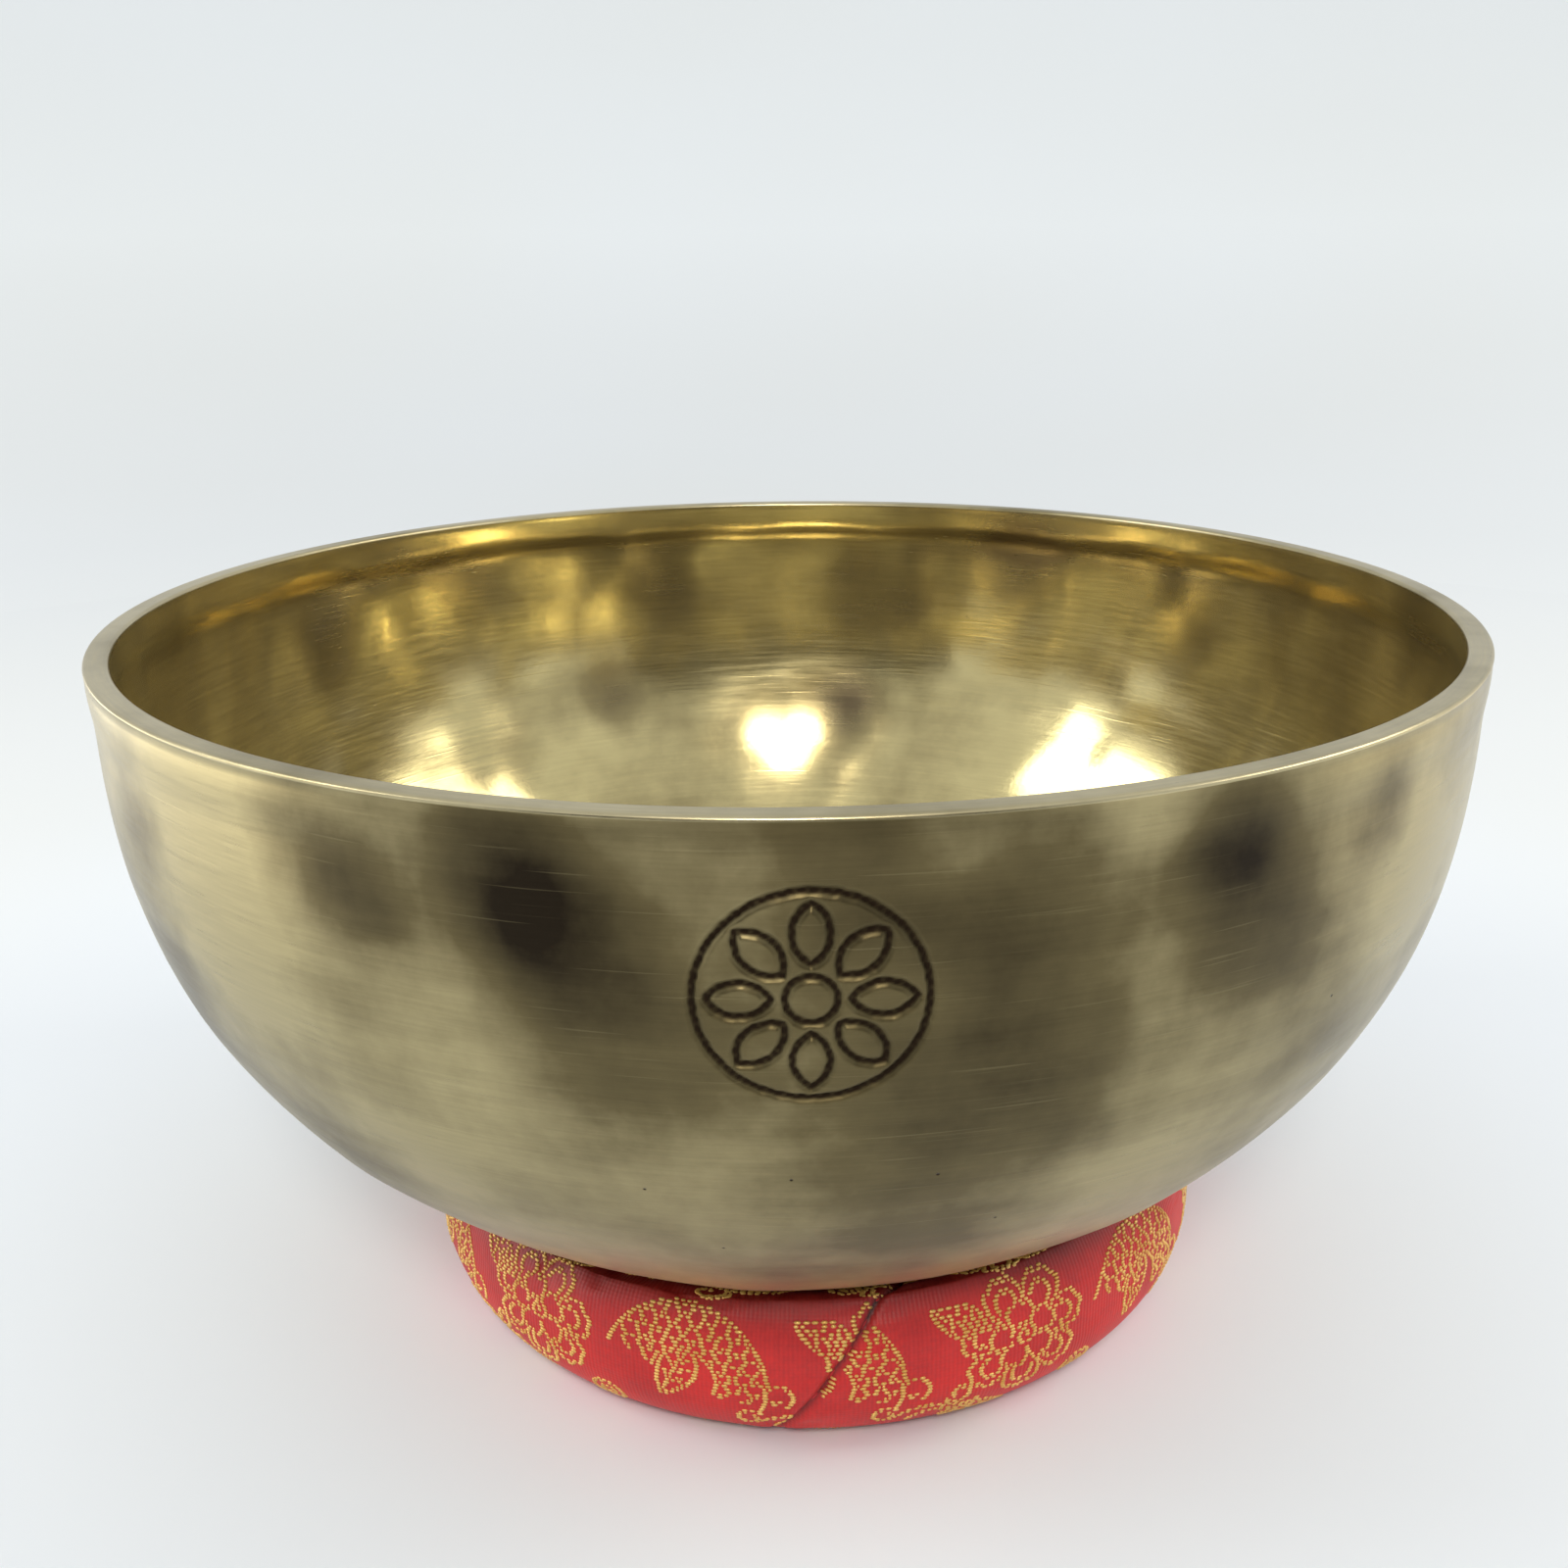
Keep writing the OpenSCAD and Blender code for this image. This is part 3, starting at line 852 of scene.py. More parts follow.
def smooth_sample(grid: np.ndarray, row: np.ndarray, col: np.ndarray) -> np.ndarray:
    """Read a closed grid of points between its points, with a Catmull-Rom curve each way.

    Args:
        grid: Points (rows, columns, 3), where both ends of each way meet.
        row: Row places, which may lie between rows.
        col: Column places, of the same shape as row.

    Returns:
        One point for each place.
    """
    n_row, n_col = grid.shape[:2]
    r0, c0 = np.floor(row).astype(int), np.floor(col).astype(int)
    fr, fc = row - r0, col - c0

    def weights(f: np.ndarray) -> list[np.ndarray]:
        """Give the four weights of a Catmull-Rom curve at f."""
        f2, f3 = f * f, f * f * f
        return [
            -0.5 * f3 + f2 - 0.5 * f, 1.5 * f3 - 2.5 * f2 + 1.0,
            -1.5 * f3 + 2.0 * f2 + 0.5 * f, 0.5 * f3 - 0.5 * f2,
        ]

    wr, wc = weights(fr), weights(fc)
    out = np.zeros(row.shape + (3,))
    for i in range(4):
        for k in range(4):
            part = grid[(r0 + i - 1) % n_row, (c0 + k - 1) % n_col]
            out += (wr[i] * wc[k])[..., None] * part
    return out


@dataclass
class RingCushion:
    """Stuffed ring: a brocade tube closed by hand on its inner side and joined by a slanted seam."""

    outline: BowlOutline
    centre: tuple[float, float] = (3.0 * MM, -4.0 * MM)
    roll_r: float = 15.5 * MM
    ring_r: float = 57.0 * MM
    height: float = 34.0 * MM
    foot: float = 14.0 * MM
    close_angle: float = math.radians(30.0)
    join_turn: float = math.radians(-88.0)
    join_slant: float = math.radians(15.0)
    seat_gap: float = 0.5 * MM
    puff_cap: float = 2.4 * MM
    pulled: float = 2.2 * MM
    sim_cols: int = 280
    sim_rows: int = 64
    sim_frames: int = 20
    valley_depth: float = 1.0 * MM
    crease_depth: float = 1.1 * MM
    stitches: int = 52
    wad_inset: float = 3.8 * MM
    wad_clear: float = 3.6 * MM
    grid: np.ndarray | None = None

    @property
    def low_z(self) -> float:
        """Height of the roll's centre above its flattened foot."""
        return math.sqrt(self.roll_r**2 - (self.foot / 2) ** 2)

    @property
    def outer_r(self) -> float:
        """Radius of the ring's outer side, at which the brocade lies unstretched."""
        return self.ring_r + self.roll_r

    def section(self, inset: float, count: int) -> np.ndarray:
        """Give the roll's section as evenly spaced points.

        Args:
            inset: How far the section is moved in from the cover's outside.
            count: Number of points.

        Returns:
            Points (distance from the roll's middle, height), from the closing seam down and round.
        """
        r = self.roll_r - inset
        low, high = self.low_z, self.height - self.roll_r
        foot_a = math.asin(min(0.999, (low - inset) / r))
        turns = np.linspace(math.pi + self.close_angle, math.pi + foot_a, 60)
        left = np.stack([r * np.cos(turns), low + r * np.sin(turns)], axis=1)
        turns = np.linspace(TAU - foot_a, TAU, 120)
        right = np.stack([r * np.cos(turns), low + r * np.sin(turns)], axis=1)
        turns = np.linspace(0.0, math.pi, 300)
        top = np.stack([r * np.cos(turns), high + r * np.sin(turns)], axis=1)
        turns = np.linspace(math.pi, math.pi + self.close_angle, 60)
        last = np.stack([r * np.cos(turns), low + r * np.sin(turns)], axis=1)
        line = np.concatenate([left, right, top, last])
        gone = np.concatenate([[0.0], np.cumsum(np.linalg.norm(np.diff(line, axis=0), axis=1))])
        stops = np.linspace(0.0, gone[-1], count, endpoint=False)
        return np.stack([np.interp(stops, gone, line[:, 0]), np.interp(stops, gone, line[:, 1])], axis=1)

    @property
    def girth(self) -> float:
        """Length of cloth once round the roll."""
        pts = self.section(0.0, 400)
        return float(np.linalg.norm(pts - np.roll(pts, 1, axis=0), axis=1).sum())

    def torus(self, inset: float, cols: int, rows: int) -> np.ndarray:
        """Give the plain ring's points as a grid (columns round the ring, rows round the roll, 3)."""
        sec = self.section(inset, rows)
        turn = np.arange(cols) * TAU / cols
        r = self.ring_r + sec[None, :, 0]
        return np.stack([
            self.centre[0] + r * np.cos(turn)[:, None],
            self.centre[1] + r * np.sin(turn)[:, None],
            np.broadcast_to(sec[None, :, 1], (cols, rows)),
        ], axis=2)

    @staticmethod
    def faces(cols: int, rows: int) -> list:
        """Give the quads of a closed grid, facing outwards."""
        ids = np.arange(cols * rows).reshape(cols, rows)
        right = np.roll(ids, -1, axis=0)
        up = np.roll(ids, -1, axis=1)
        both = np.roll(right, -1, axis=1)
        return np.stack([ids, right, both, up], axis=2).reshape(-1, 4).tolist()

    def seat(self, points: np.ndarray, gap: float) -> np.ndarray:
        """Press points clear of the bowl and of the surface below."""
        flat = points.reshape(-1, 3).copy()
        for _ in range(2):
            gaps, ways = self.outline.gap_to(flat)
            short = np.maximum(gap - gaps, 0.0)
            flat += ways * short[:, None]
        flat[:, 2] = np.maximum(flat[:, 2], 0.2 * MM)
        return flat.reshape(points.shape)

    def pull_in(self, points: np.ndarray) -> np.ndarray:
        """Pull the ring's left side in a little, as a ring stuffed by hand is never quite round."""
        arm = points[..., :2] - np.array(self.centre)
        turn = np.arctan2(arm[..., 1], arm[..., 0])
        off = np.angle(np.exp(1j * (turn - math.pi)))
        share = 1.0 - self.pulled / self.outer_r * np.exp(-((off / 0.9) ** 2))
        return np.concatenate([np.array(self.centre) + arm * share[..., None], points[..., 2:]], axis=-1)

    def puff(self) -> None:
        """Let the stuffing swell the cover: cloth under pressure, with spare cloth on the inner side."""
        cols, rows = self.sim_cols, self.sim_rows
        start = self.seat(self.torus(1.5 * MM, cols, rows), self.seat_gap)
        obj = mesh_piece("cushion_try", start.reshape(-1, 3), self.faces(cols, rows), [])
        inner = np.clip(-self.section(0.0, rows)[:, 0] / self.roll_r, 0.0, 1.0)
        group = obj.vertex_groups.new(name="gather")
        for row in range(rows):
            ids = [col * rows + row for col in range(cols)]
            group.add(ids, float(inner[row]) ** 0.7 if inner[row] > 0 else 0.0, "REPLACE")
        mod = obj.modifiers.new("puff", "CLOTH")
        cloth = {
            "quality": 5, "mass": 0.25, "tension_stiffness": 18.0, "compression_stiffness": 18.0,
            "shear_stiffness": 6.0, "bending_stiffness": 0.35, "use_pressure": True,
            "uniform_pressure_force": 4.0, "vertex_group_shrink": "gather", "shrink_min": -0.015,
            "shrink_max": -0.16,
        }
        for key, value in cloth.items():
            setattr(mod.settings, key, value)
        mod.settings.effector_weights.gravity = 0.0
        scene = bpy.context.scene
        scene.frame_start, scene.frame_end = 1, self.sim_frames
        mod.point_cache.frame_start, mod.point_cache.frame_end = 1, self.sim_frames
        for number in range(1, self.sim_frames + 1):
            scene.frame_set(number)
        held = obj.evaluated_get(bpy.context.evaluated_depsgraph_get()).to_mesh()
        flat = np.empty(len(held.vertices) * 3, np.float32)
        held.vertices.foreach_get("co", flat)
        moved = flat.reshape(cols, rows, 3).astype(float)
        data = obj.data
        bpy.data.objects.remove(obj)
        bpy.data.meshes.remove(data)
        scene.frame_set(1)
        step = moved - start
        size = np.linalg.norm(step, axis=2, keepdims=True)
        LOG.info("cushion swelled by up to %.2f mm, %.2f mm on average", size.max() / MM, size.mean() / MM)
        # Past a third of the cap a point slows down, so no point stops dead against it.
        cap = self.puff_cap
        eased = cap * np.tanh(size / cap)
        puffed = start + step * eased / np.maximum(size, 1e-9)
        self.grid = self.seat(self.pull_in(puffed), self.seat_gap)

    def seam_turn(self, v: np.ndarray) -> np.ndarray:
        """Give the joining seam's angle round the ring at a cloth length v from the closing seam."""
        outer_v = self.girth * 0.40
        share = np.clip((v - outer_v) / (self.girth * 0.15), -1.6, 1.6)
        return self.join_turn + share * self.join_slant / 2

    def surface(self, turn: np.ndarray, v: np.ndarray) -> tuple[np.ndarray, np.ndarray]:
        """Give points of the cover.

        Args:
            turn: Angles round the ring from +X, in radians.
            v: Cloth lengths round the roll from the closing seam, in metres.

        Returns:
            The points, and the outward unit normals there.
        """
        cols, rows = self.grid.shape[:2]
        c = (turn / TAU * cols) % cols
        r = (v / self.girth * rows) % rows
        here = smooth_sample(self.grid, c, r)
        du = smooth_sample(self.grid, c + 0.25, r) - smooth_sample(self.grid, c - 0.25, r)
        dv = smooth_sample(self.grid, c, r + 0.25) - smooth_sample(self.grid, c, r - 0.25)
        nrm = np.cross(du, dv)
        nrm /= np.maximum(np.linalg.norm(nrm, axis=-1, keepdims=True), 1e-12)
        # Joining seam: a shallow valley, with small puckers that run into it.
        gap = np.angle(np.exp(1j * (turn - self.seam_turn(v)))) * self.outer_r
        valley = -self.valley_depth * np.exp(-((gap / (0.75 * MM)) ** 2))
        beside = np.exp(-((np.abs(gap) - 3.0 * MM) / (2.6 * MM)) ** 2)
        pucker = 0.16 * MM * beside * np.sin(TAU * v / (5.5 * MM) + 1.1 * np.sin(v / (4.0 * MM)))
        # Closing seam: a deeper crease, drawn in between the stitches.
        v_gap = np.minimum(v % self.girth, self.girth - v % self.girth)
        crease = -self.crease_depth * np.exp(-((v_gap / (1.5 * MM)) ** 2))
        drawn = 0.45 * MM * np.sin(turn * self.stitches) * np.exp(-((v_gap / (4.5 * MM)) ** 2))
        move = valley + pucker + crease + drawn
        out = here + nrm * move[..., None]
        return out, nrm

    def cover(self, mats: list, cols: int = 620, rows: int = 136) -> bpy.types.Object:
        """Build the cover's mesh, with its columns laid along the joining seam."""
        turn = self.join_turn + (np.arange(cols) / cols - 0.5) * TAU
        v = np.arange(rows) * self.girth / rows
        turns = np.broadcast_to(turn[:, None], (cols, rows)).copy()
        vs = np.broadcast_to(v[None, :], (cols, rows)).copy()
        off = turns - self.join_turn
        turns += (self.seam_turn(vs) - self.join_turn) * (1.0 - smooth(np.abs(off) / 0.9))
        pts, _ = self.surface(turns, vs)
        pts = self.seat(pts, self.seat_gap)
        obj = mesh_piece("cushion_brocade_cover", pts.reshape(-1, 3), self.faces(cols, rows), mats)
        mesh = obj.data
        corner = np.empty(len(mesh.loops), np.int64)
        mesh.loops.foreach_get("vertex_index", corner)
        col, row = corner // rows, corner % rows
        quad = np.repeat(np.arange(len(mesh.polygons)), 4)
        q_col, q_row = quad // rows, quad % rows
        u = (turns[col, row] - self.join_turn) * self.outer_r
        u = np.where((q_col == cols - 1) & (col == 0), u + TAU * self.outer_r, u)
        uv_v = vs[col, row] + np.where((q_row == rows - 1) & (row == 0), self.girth, 0.0)
        set_uv(mesh, np.stack([u, uv_v], axis=1))
        # Painted shade under the bowl and in the seams' folds, read by the satin.
        point_value(mesh, "painted_shade", self.painted_shade(pts, turns, vs))
        return obj

    def painted_shade(self, pts: np.ndarray, turns: np.ndarray, vs: np.ndarray) -> np.ndarray:
        """Give the painted shade of the cloth, from 0 to 1: the bowl's shadow round where it sits, and
        shade in the seams' folds.
        """
        gaps, _ = self.outline.gap_to(pts.reshape(-1, 3))
        bowl_shadow = 0.72 * np.exp(-np.maximum(gaps - self.seat_gap, 0.0) / (4.6 * MM)).reshape(turns.shape)
        gap = np.angle(np.exp(1j * (turns - self.seam_turn(vs)))) * self.outer_r
        v_gap = np.minimum(vs % self.girth, self.girth - vs % self.girth)
        fold_shade = 0.7 * np.exp(-((gap / (0.6 * MM)) ** 2)) + 0.5 * np.exp(-((v_gap / (1.2 * MM)) ** 2))
        return np.clip(bowl_shadow + fold_shade, 0.0, 1.0)

    def filling(self, mats: list, cols: int = 180, rows: int = 48) -> bpy.types.Object:
        """Build the wadding inside the cover, as a closed ring some 2 mm smaller all round."""
        pts = self.pull_in(self.torus(self.wad_inset, cols, rows))
        turn = np.arange(cols)[:, None] * TAU / cols
        pts[..., 2] += 0.25 * MM * np.sin(turn * 37 + np.arange(rows)[None, :] * 0.8)
        pts = self.seat(pts, self.seat_gap + self.wad_clear)
        pts[..., 2] = np.maximum(pts[..., 2], 1.2 * MM)
        return mesh_piece("cushion_wadding", pts.reshape(-1, 3), self.faces(cols, rows), mats)


@dataclass
class Strewn:
    """Small equal grains of thread laid on a surface by Geometry Nodes."""

    name: str
    at: np.ndarray
    along: np.ndarray
    out: np.ndarray
    run: np.ndarray
    width: float
    rise: float
    segments: int = 5
    rings: int = 3

    def tree(self, mat: bpy.types.Material) -> bpy.types.NodeTree:
        """Build the node tree that turns each point into one grain."""
        t = bpy.data.node_groups.new(self.name, "GeometryNodeTree")
        face = t.interface
        face.new_socket(name="Geometry", in_out="INPUT", socket_type="NodeSocketGeometry")
        face.new_socket(name="Thread width", in_out="INPUT", socket_type="NodeSocketFloat")
        face.new_socket(name="Thread rise", in_out="INPUT", socket_type="NodeSocketFloat")
        face.new_socket(name="Geometry", in_out="OUTPUT", socket_type="NodeSocketGeometry")
        given = add(t, "NodeGroupInput")
        grain = add(
            t, "GeometryNodeMeshUVSphere", {"Segments": self.segments, "Rings": self.rings, "Radius": 1.0}
        )
        soft = add(t, "GeometryNodeSetShadeSmooth", links={0: grain.outputs["Mesh"]})
        along = add(t, "GeometryNodeInputNamedAttribute", {"data_type": "FLOAT_VECTOR", "Name": "along"})
        out = add(t, "GeometryNodeInputNamedAttribute", {"data_type": "FLOAT_VECTOR", "Name": "out"})
        run = add(t, "GeometryNodeInputNamedAttribute", {"data_type": "FLOAT", "Name": "run"})
        first = add(
            t, "FunctionNodeAlignRotationToVector", {"axis": "Z"}, {"Vector": along.outputs["Attribute"]}
        )
        second = add(
            t, "FunctionNodeAlignRotationToVector", {"axis": "X", "pivot_axis": "Z"},
            {"Rotation": first, "Vector": out.outputs["Attribute"]},
        )
        half = add(
            t, "ShaderNodeMath", {"operation": "MULTIPLY", 1: 0.5},
            {0: given.outputs["Thread width"]},
        )
        size = add(
            t, "ShaderNodeCombineXYZ",
            links={0: given.outputs["Thread rise"], 1: half, 2: run.outputs["Attribute"]},
        )
        laid = add(
            t, "GeometryNodeInstanceOnPoints", links={"Points": given.outputs[0], "Instance": soft,
                                                      "Rotation": second, "Scale": size},
        )
        real = add(t, "GeometryNodeRealizeInstances", links={0: laid})
        dressed = add(t, "GeometryNodeSetMaterial", {"Material": mat}, {"Geometry": real})
        add(t, "NodeGroupOutput", links={0: dressed})
        return t

    def build(self, mat: bpy.types.Material) -> bpy.types.Object:
        """Lay the grains and return them as one plain mesh object."""
        mesh = bpy.data.meshes.new(self.name)
        mesh.from_pydata(self.at.tolist(), [], [])
        point_vector(mesh, "along", self.along)
        point_vector(mesh, "out", self.out)
        point_value(mesh, "run", self.run / 2)
        obj = bpy.data.objects.new(self.name, mesh)
        bpy.context.collection.objects.link(obj)
        mod = obj.modifiers.new("strew", "NODES")
        tree = self.tree(mat)
        mod.node_group = tree
        named = {i.name: i.identifier for i in tree.interface.items_tree if i.in_out == "INPUT"}
        mod[named["Thread width"]] = self.width
        mod[named["Thread rise"]] = self.rise
        held = obj.evaluated_get(bpy.context.evaluated_depsgraph_get())
        solid = bpy.data.meshes.new_from_object(held)
        obj.modifiers.clear()
        obj.data = solid
        solid.name = self.name
        LOG.info("%s: %d grains, %d faces", self.name, len(self.at), len(solid.polygons))
        return obj


@dataclass
class Loom:
    """Weaves line drawings of flowers, scrolls and clouds into rows of gold floats.

    Lengths in this class are in millimetres. The weft rows lie 0.65 mm apart.
    """

    length: float
    girth: float
    row: float = 0.65
    cell: float = 0.2
    gold: np.ndarray | None = None

    def __post_init__(self) -> None:
        """Clear the cloth."""
        self.gold = np.zeros((int(self.girth / self.row), int(self.length / self.cell)), bool)

    def draw(self, pts: np.ndarray, width: float = 1.0) -> None:
        """Weave one line.

        Args:
            pts: Points (along the cloth, across it) of the line.
            width: Width of the line.
        """
        step = np.linalg.norm(np.diff(pts, axis=0), axis=1)
        gone = np.concatenate([[0.0], np.cumsum(step)])
        count = max(2, int(gone[-1] / 0.12))
        stops = np.linspace(0.0, gone[-1], count)
        u = np.interp(stops, gone, pts[:, 0])
        v = np.interp(stops, gone, pts[:, 1])
        rows, cols = self.gold.shape
        reach = int(width / 2 / self.row) + 1
        wide = int(width / 2 / self.cell) + 1
        r0 = np.floor(v / self.row).astype(int)
        c0 = np.floor(u / self.cell).astype(int)
        for i in range(-reach, reach + 1):
            for k in range(-wide, wide + 1):
                r, c = r0 + i, c0 + k
                far = np.hypot((r + 0.5) * self.row - v, ((c + 0.5) * self.cell - u))
                good = (far < width / 2) & (r >= 0) & (r < rows) & (c >= 0) & (c < cols)
                self.gold[r[good], c[good]] = True

    def place(
        self, pts: np.ndarray, at: tuple[float, float], turn: float, size: float, flip: bool
    ) -> np.ndarray:
        """Turn, scale and move a drawing onto the cloth."""
        p = pts * size * (np.array([-1.0, 1.0]) if flip else 1.0)
        c, s = math.cos(turn), math.sin(turn)
        return p @ np.array([[c, s], [-s, c]]) + np.array(at)

    def petal(self, a: float, half: float, r0: float, r1: float, frill: float) -> np.ndarray:
        """Give a petal's edge round the angle a, from radius r0 out to r1."""
        t = np.linspace(-1.0, 1.0, 41)
        r = r0 + (r1 - r0) * (1.0 - np.abs(t) ** 2.6) ** 0.6 * (1.0 + frill * np.cos(t * 3.5 * math.pi))
        ang = a + t * half
        return np.stack([r * np.cos(ang), r * np.sin(ang)], axis=1)

    def peony(self) -> list[np.ndarray]:
        """Draw a peony: a curled heart and two rings of frilled petals with echo lines."""
        t = np.linspace(0.0, 1.0, 40)
        heart = np.stack([(0.5 + 2.2 * t) * np.cos(t * 9.0), (0.5 + 2.2 * t) * np.sin(t * 9.0)], axis=1)
        lines = [heart]
        for k in range(5):
            lines.append(self.petal(k * TAU / 5 + 0.3, 0.66, 2.8, 6.6, 0.05))
        for k in range(7):
            a = k * TAU / 7
            lines.append(self.petal(a, 0.47, 6.2, 12.0, 0.05))
            lines.append(self.petal(a, 0.25, 7.4, 9.9, 0.0))
        return lines

    def curl(self, turns: float, size: float, side: float) -> np.ndarray:
        """Draw a scroll end that starts at the origin along +u and curls to one side."""
        t = np.linspace(0.0, 1.0, 60)
        r = size * (1.0 - 0.62 * t)
        ang = t * turns * TAU
        return np.stack([r * np.sin(ang), side * (size - r * np.cos(ang))], axis=1)

    def scroll(self) -> list[np.ndarray]:
        """Draw a flowing vine: a wave with an echo line, and open curls on both sides."""
        t = np.linspace(0.0, 1.0, 90)
        u = -23.0 + 46.0 * t
        v = 7.5 * np.sin(t * TAU)
        stem = np.stack([u, v], axis=1)
        lines = [stem, np.stack([u + 1.0, v + 2.0], axis=1)[10:-10]]
        places = (
            (0.12, -1.0, 4.4, 0.95), (0.33, 1.0, 4.0, 0.9), (0.62, -1.0, 4.2, 0.9), (0.88, 1.0, 4.6, 0.95),
        )
        for share, side, size, turns in places:
            k = int(share * 89)
            way = math.atan2(stem[k + 1, 1] - stem[k, 1], stem[k + 1, 0] - stem[k, 0]) + side * 0.35
            lines.append(self.place(self.curl(turns, size, side), tuple(stem[k]), way, 1.0, False))
            outer = self.curl(turns * 0.45, size * 1.55, side)
            lines.append(self.place(outer, tuple(stem[k]), way - side * 0.25, 1.0, False))
        return lines

    def leaf(self) -> list[np.ndarray]:
        """Draw a pointed leaf with a midrib and side veins, 16 mm long."""
        t = np.linspace(0.0, 1.0, 30)
        edge = 4.2 * np.sin(t * math.pi) ** 0.8
        x = 16.0 * t + 1.5 * np.sin(t * math.pi)
        lines = [np.stack([x, y], axis=1) for y in (edge, -edge, 0.6 * np.sin(3 * t))]
        for k in (7, 13, 19):
            for side in (-1.0, 1.0):
                lines.append(np.array([[x[k], 0.0], [x[k] + 2.2, side * edge[k] * 0.7]]))
        return lines

    def cloud(self) -> list[np.ndarray]:
        """Draw a cloud: open curls side by side, with a trailing tail."""
        lines = []
        for x, y, a, size in ((0.0, 0.0, 0.4, 3.6), (-5.5, -1.0, 2.2, 3.0), (4.5, -3.0, -1.2, 3.0)):
            lines.append(self.place(self.curl(1.0, size, 1.0), (x, y), a, 1.0, False))
        t = np.linspace(0.0, 1.0, 30)
        lines.append(np.stack([-7.0 + 18.0 * t, 2.0 * np.sin(t * 5.0) - 4.6], axis=1))
        lines.append(np.stack([-4.0 + 14.0 * t, 2.0 * np.sin(t * 5.0) - 6.9], axis=1))
        return lines

    def scales(self) -> list[np.ndarray]:
        """Draw a crescent of overlapping scallops between two bows."""
        lines = []
        t = np.linspace(0.1, math.pi - 0.1, 18)
        for k in range(4):
            for m in range(9):
                a = -0.25 + (m + (0.5 if k % 2 else 0.0)) * 0.36
                if a > 2.75:
                    continue
                rho = 7.2 + 2.3 * k
                cx, cy = rho * math.cos(a), rho * math.sin(a)
                arc = np.stack([2.1 * np.sin(t), 1.5 * np.cos(t)], axis=1)
                turn = np.array([[math.cos(a), math.sin(a)], [-math.sin(a), math.cos(a)]])
                lines.append(arc @ turn + (cx, cy))
        s = np.linspace(-0.45, 2.85, 60)
        for rho in (6.6, 16.4):
            lines.append(np.stack([rho * np.cos(s), rho * np.sin(s)], axis=1))
        return lines

    def boss(self) -> list[np.ndarray]:
        """Draw a round bead: two rings."""
        s = np.linspace(0.0, TAU, 40)
        ring = np.stack([np.cos(s), np.sin(s)], axis=1)
        return [ring * 4.0, ring * 1.7]

    def figure(self) -> None:
        """Weave the whole figured repeat over the cloth, dropped by half from one repeat to the next."""
        wide = 62.0
        tall = self.girth / 2
        motifs = (
            (self.peony, 51.0, 44.0, 0.2, 0.95, False), (self.scales, 17.0, 40.5, 0.0, 0.82, False),
            (self.leaf, 13.0, 36.0, 1.1, 0.72, False), (self.cloud, 33.5, 36.0, 0.2, 0.82, False),
            (self.leaf, 35.0, 52.0, 2.7, 0.62, True), (self.boss, 2.0, 31.0, 0.0, 0.75, False),
            (self.peony, 20.0, 14.0, 0.9, 0.92, False), (self.scroll, 49.0, 13.0, 0.1, 0.8, False),
            (self.leaf, 50.0, 27.0, 3.0, 0.8, False), (self.boss, 34.0, 20.0, 0.0, 0.7, False),
        )
        for column in range(-1, int(self.length / wide) + 2):
            for band in range(-1, 3):
                du = column * wide + (wide / 2 if band % 2 else 0.0)
                dv = band * tall
                for draw, u, v, turn, size, flip in motifs:
                    for line in draw():
                        self.draw(self.place(line, (u + du, v + dv), turn, size, flip))

    def floats(self, seed: int = 3) -> np.ndarray:
        """Cut the woven lines into floats.

        Args:
            seed: Seed of the small differences between floats.

        Returns:
            Rows (middle along the cloth, middle across it, length).
        """
        rng = np.random.default_rng(seed)
        out = []
        longest, tie = 1.2, 0.2
        for r in range(self.gold.shape[0]):
            line = np.concatenate([[False], self.gold[r], [False]])
            edge = np.flatnonzero(line[1:] != line[:-1])
            for a, b in zip(edge[::2] * self.cell, edge[1::2] * self.cell):
                size = b - a
                if size < 0.3:
                    continue
                parts = max(1, math.ceil(size / (longest + tie)))
                pitch = size / parts
                for k in range(parts):
                    length = max(0.5, pitch - (tie if parts > 1 else 0.0))
                    out.append((a + (k + 0.5) * pitch + rng.normal(0, 0.03), (r + 0.5) * self.row, length))
        return np.array(out)


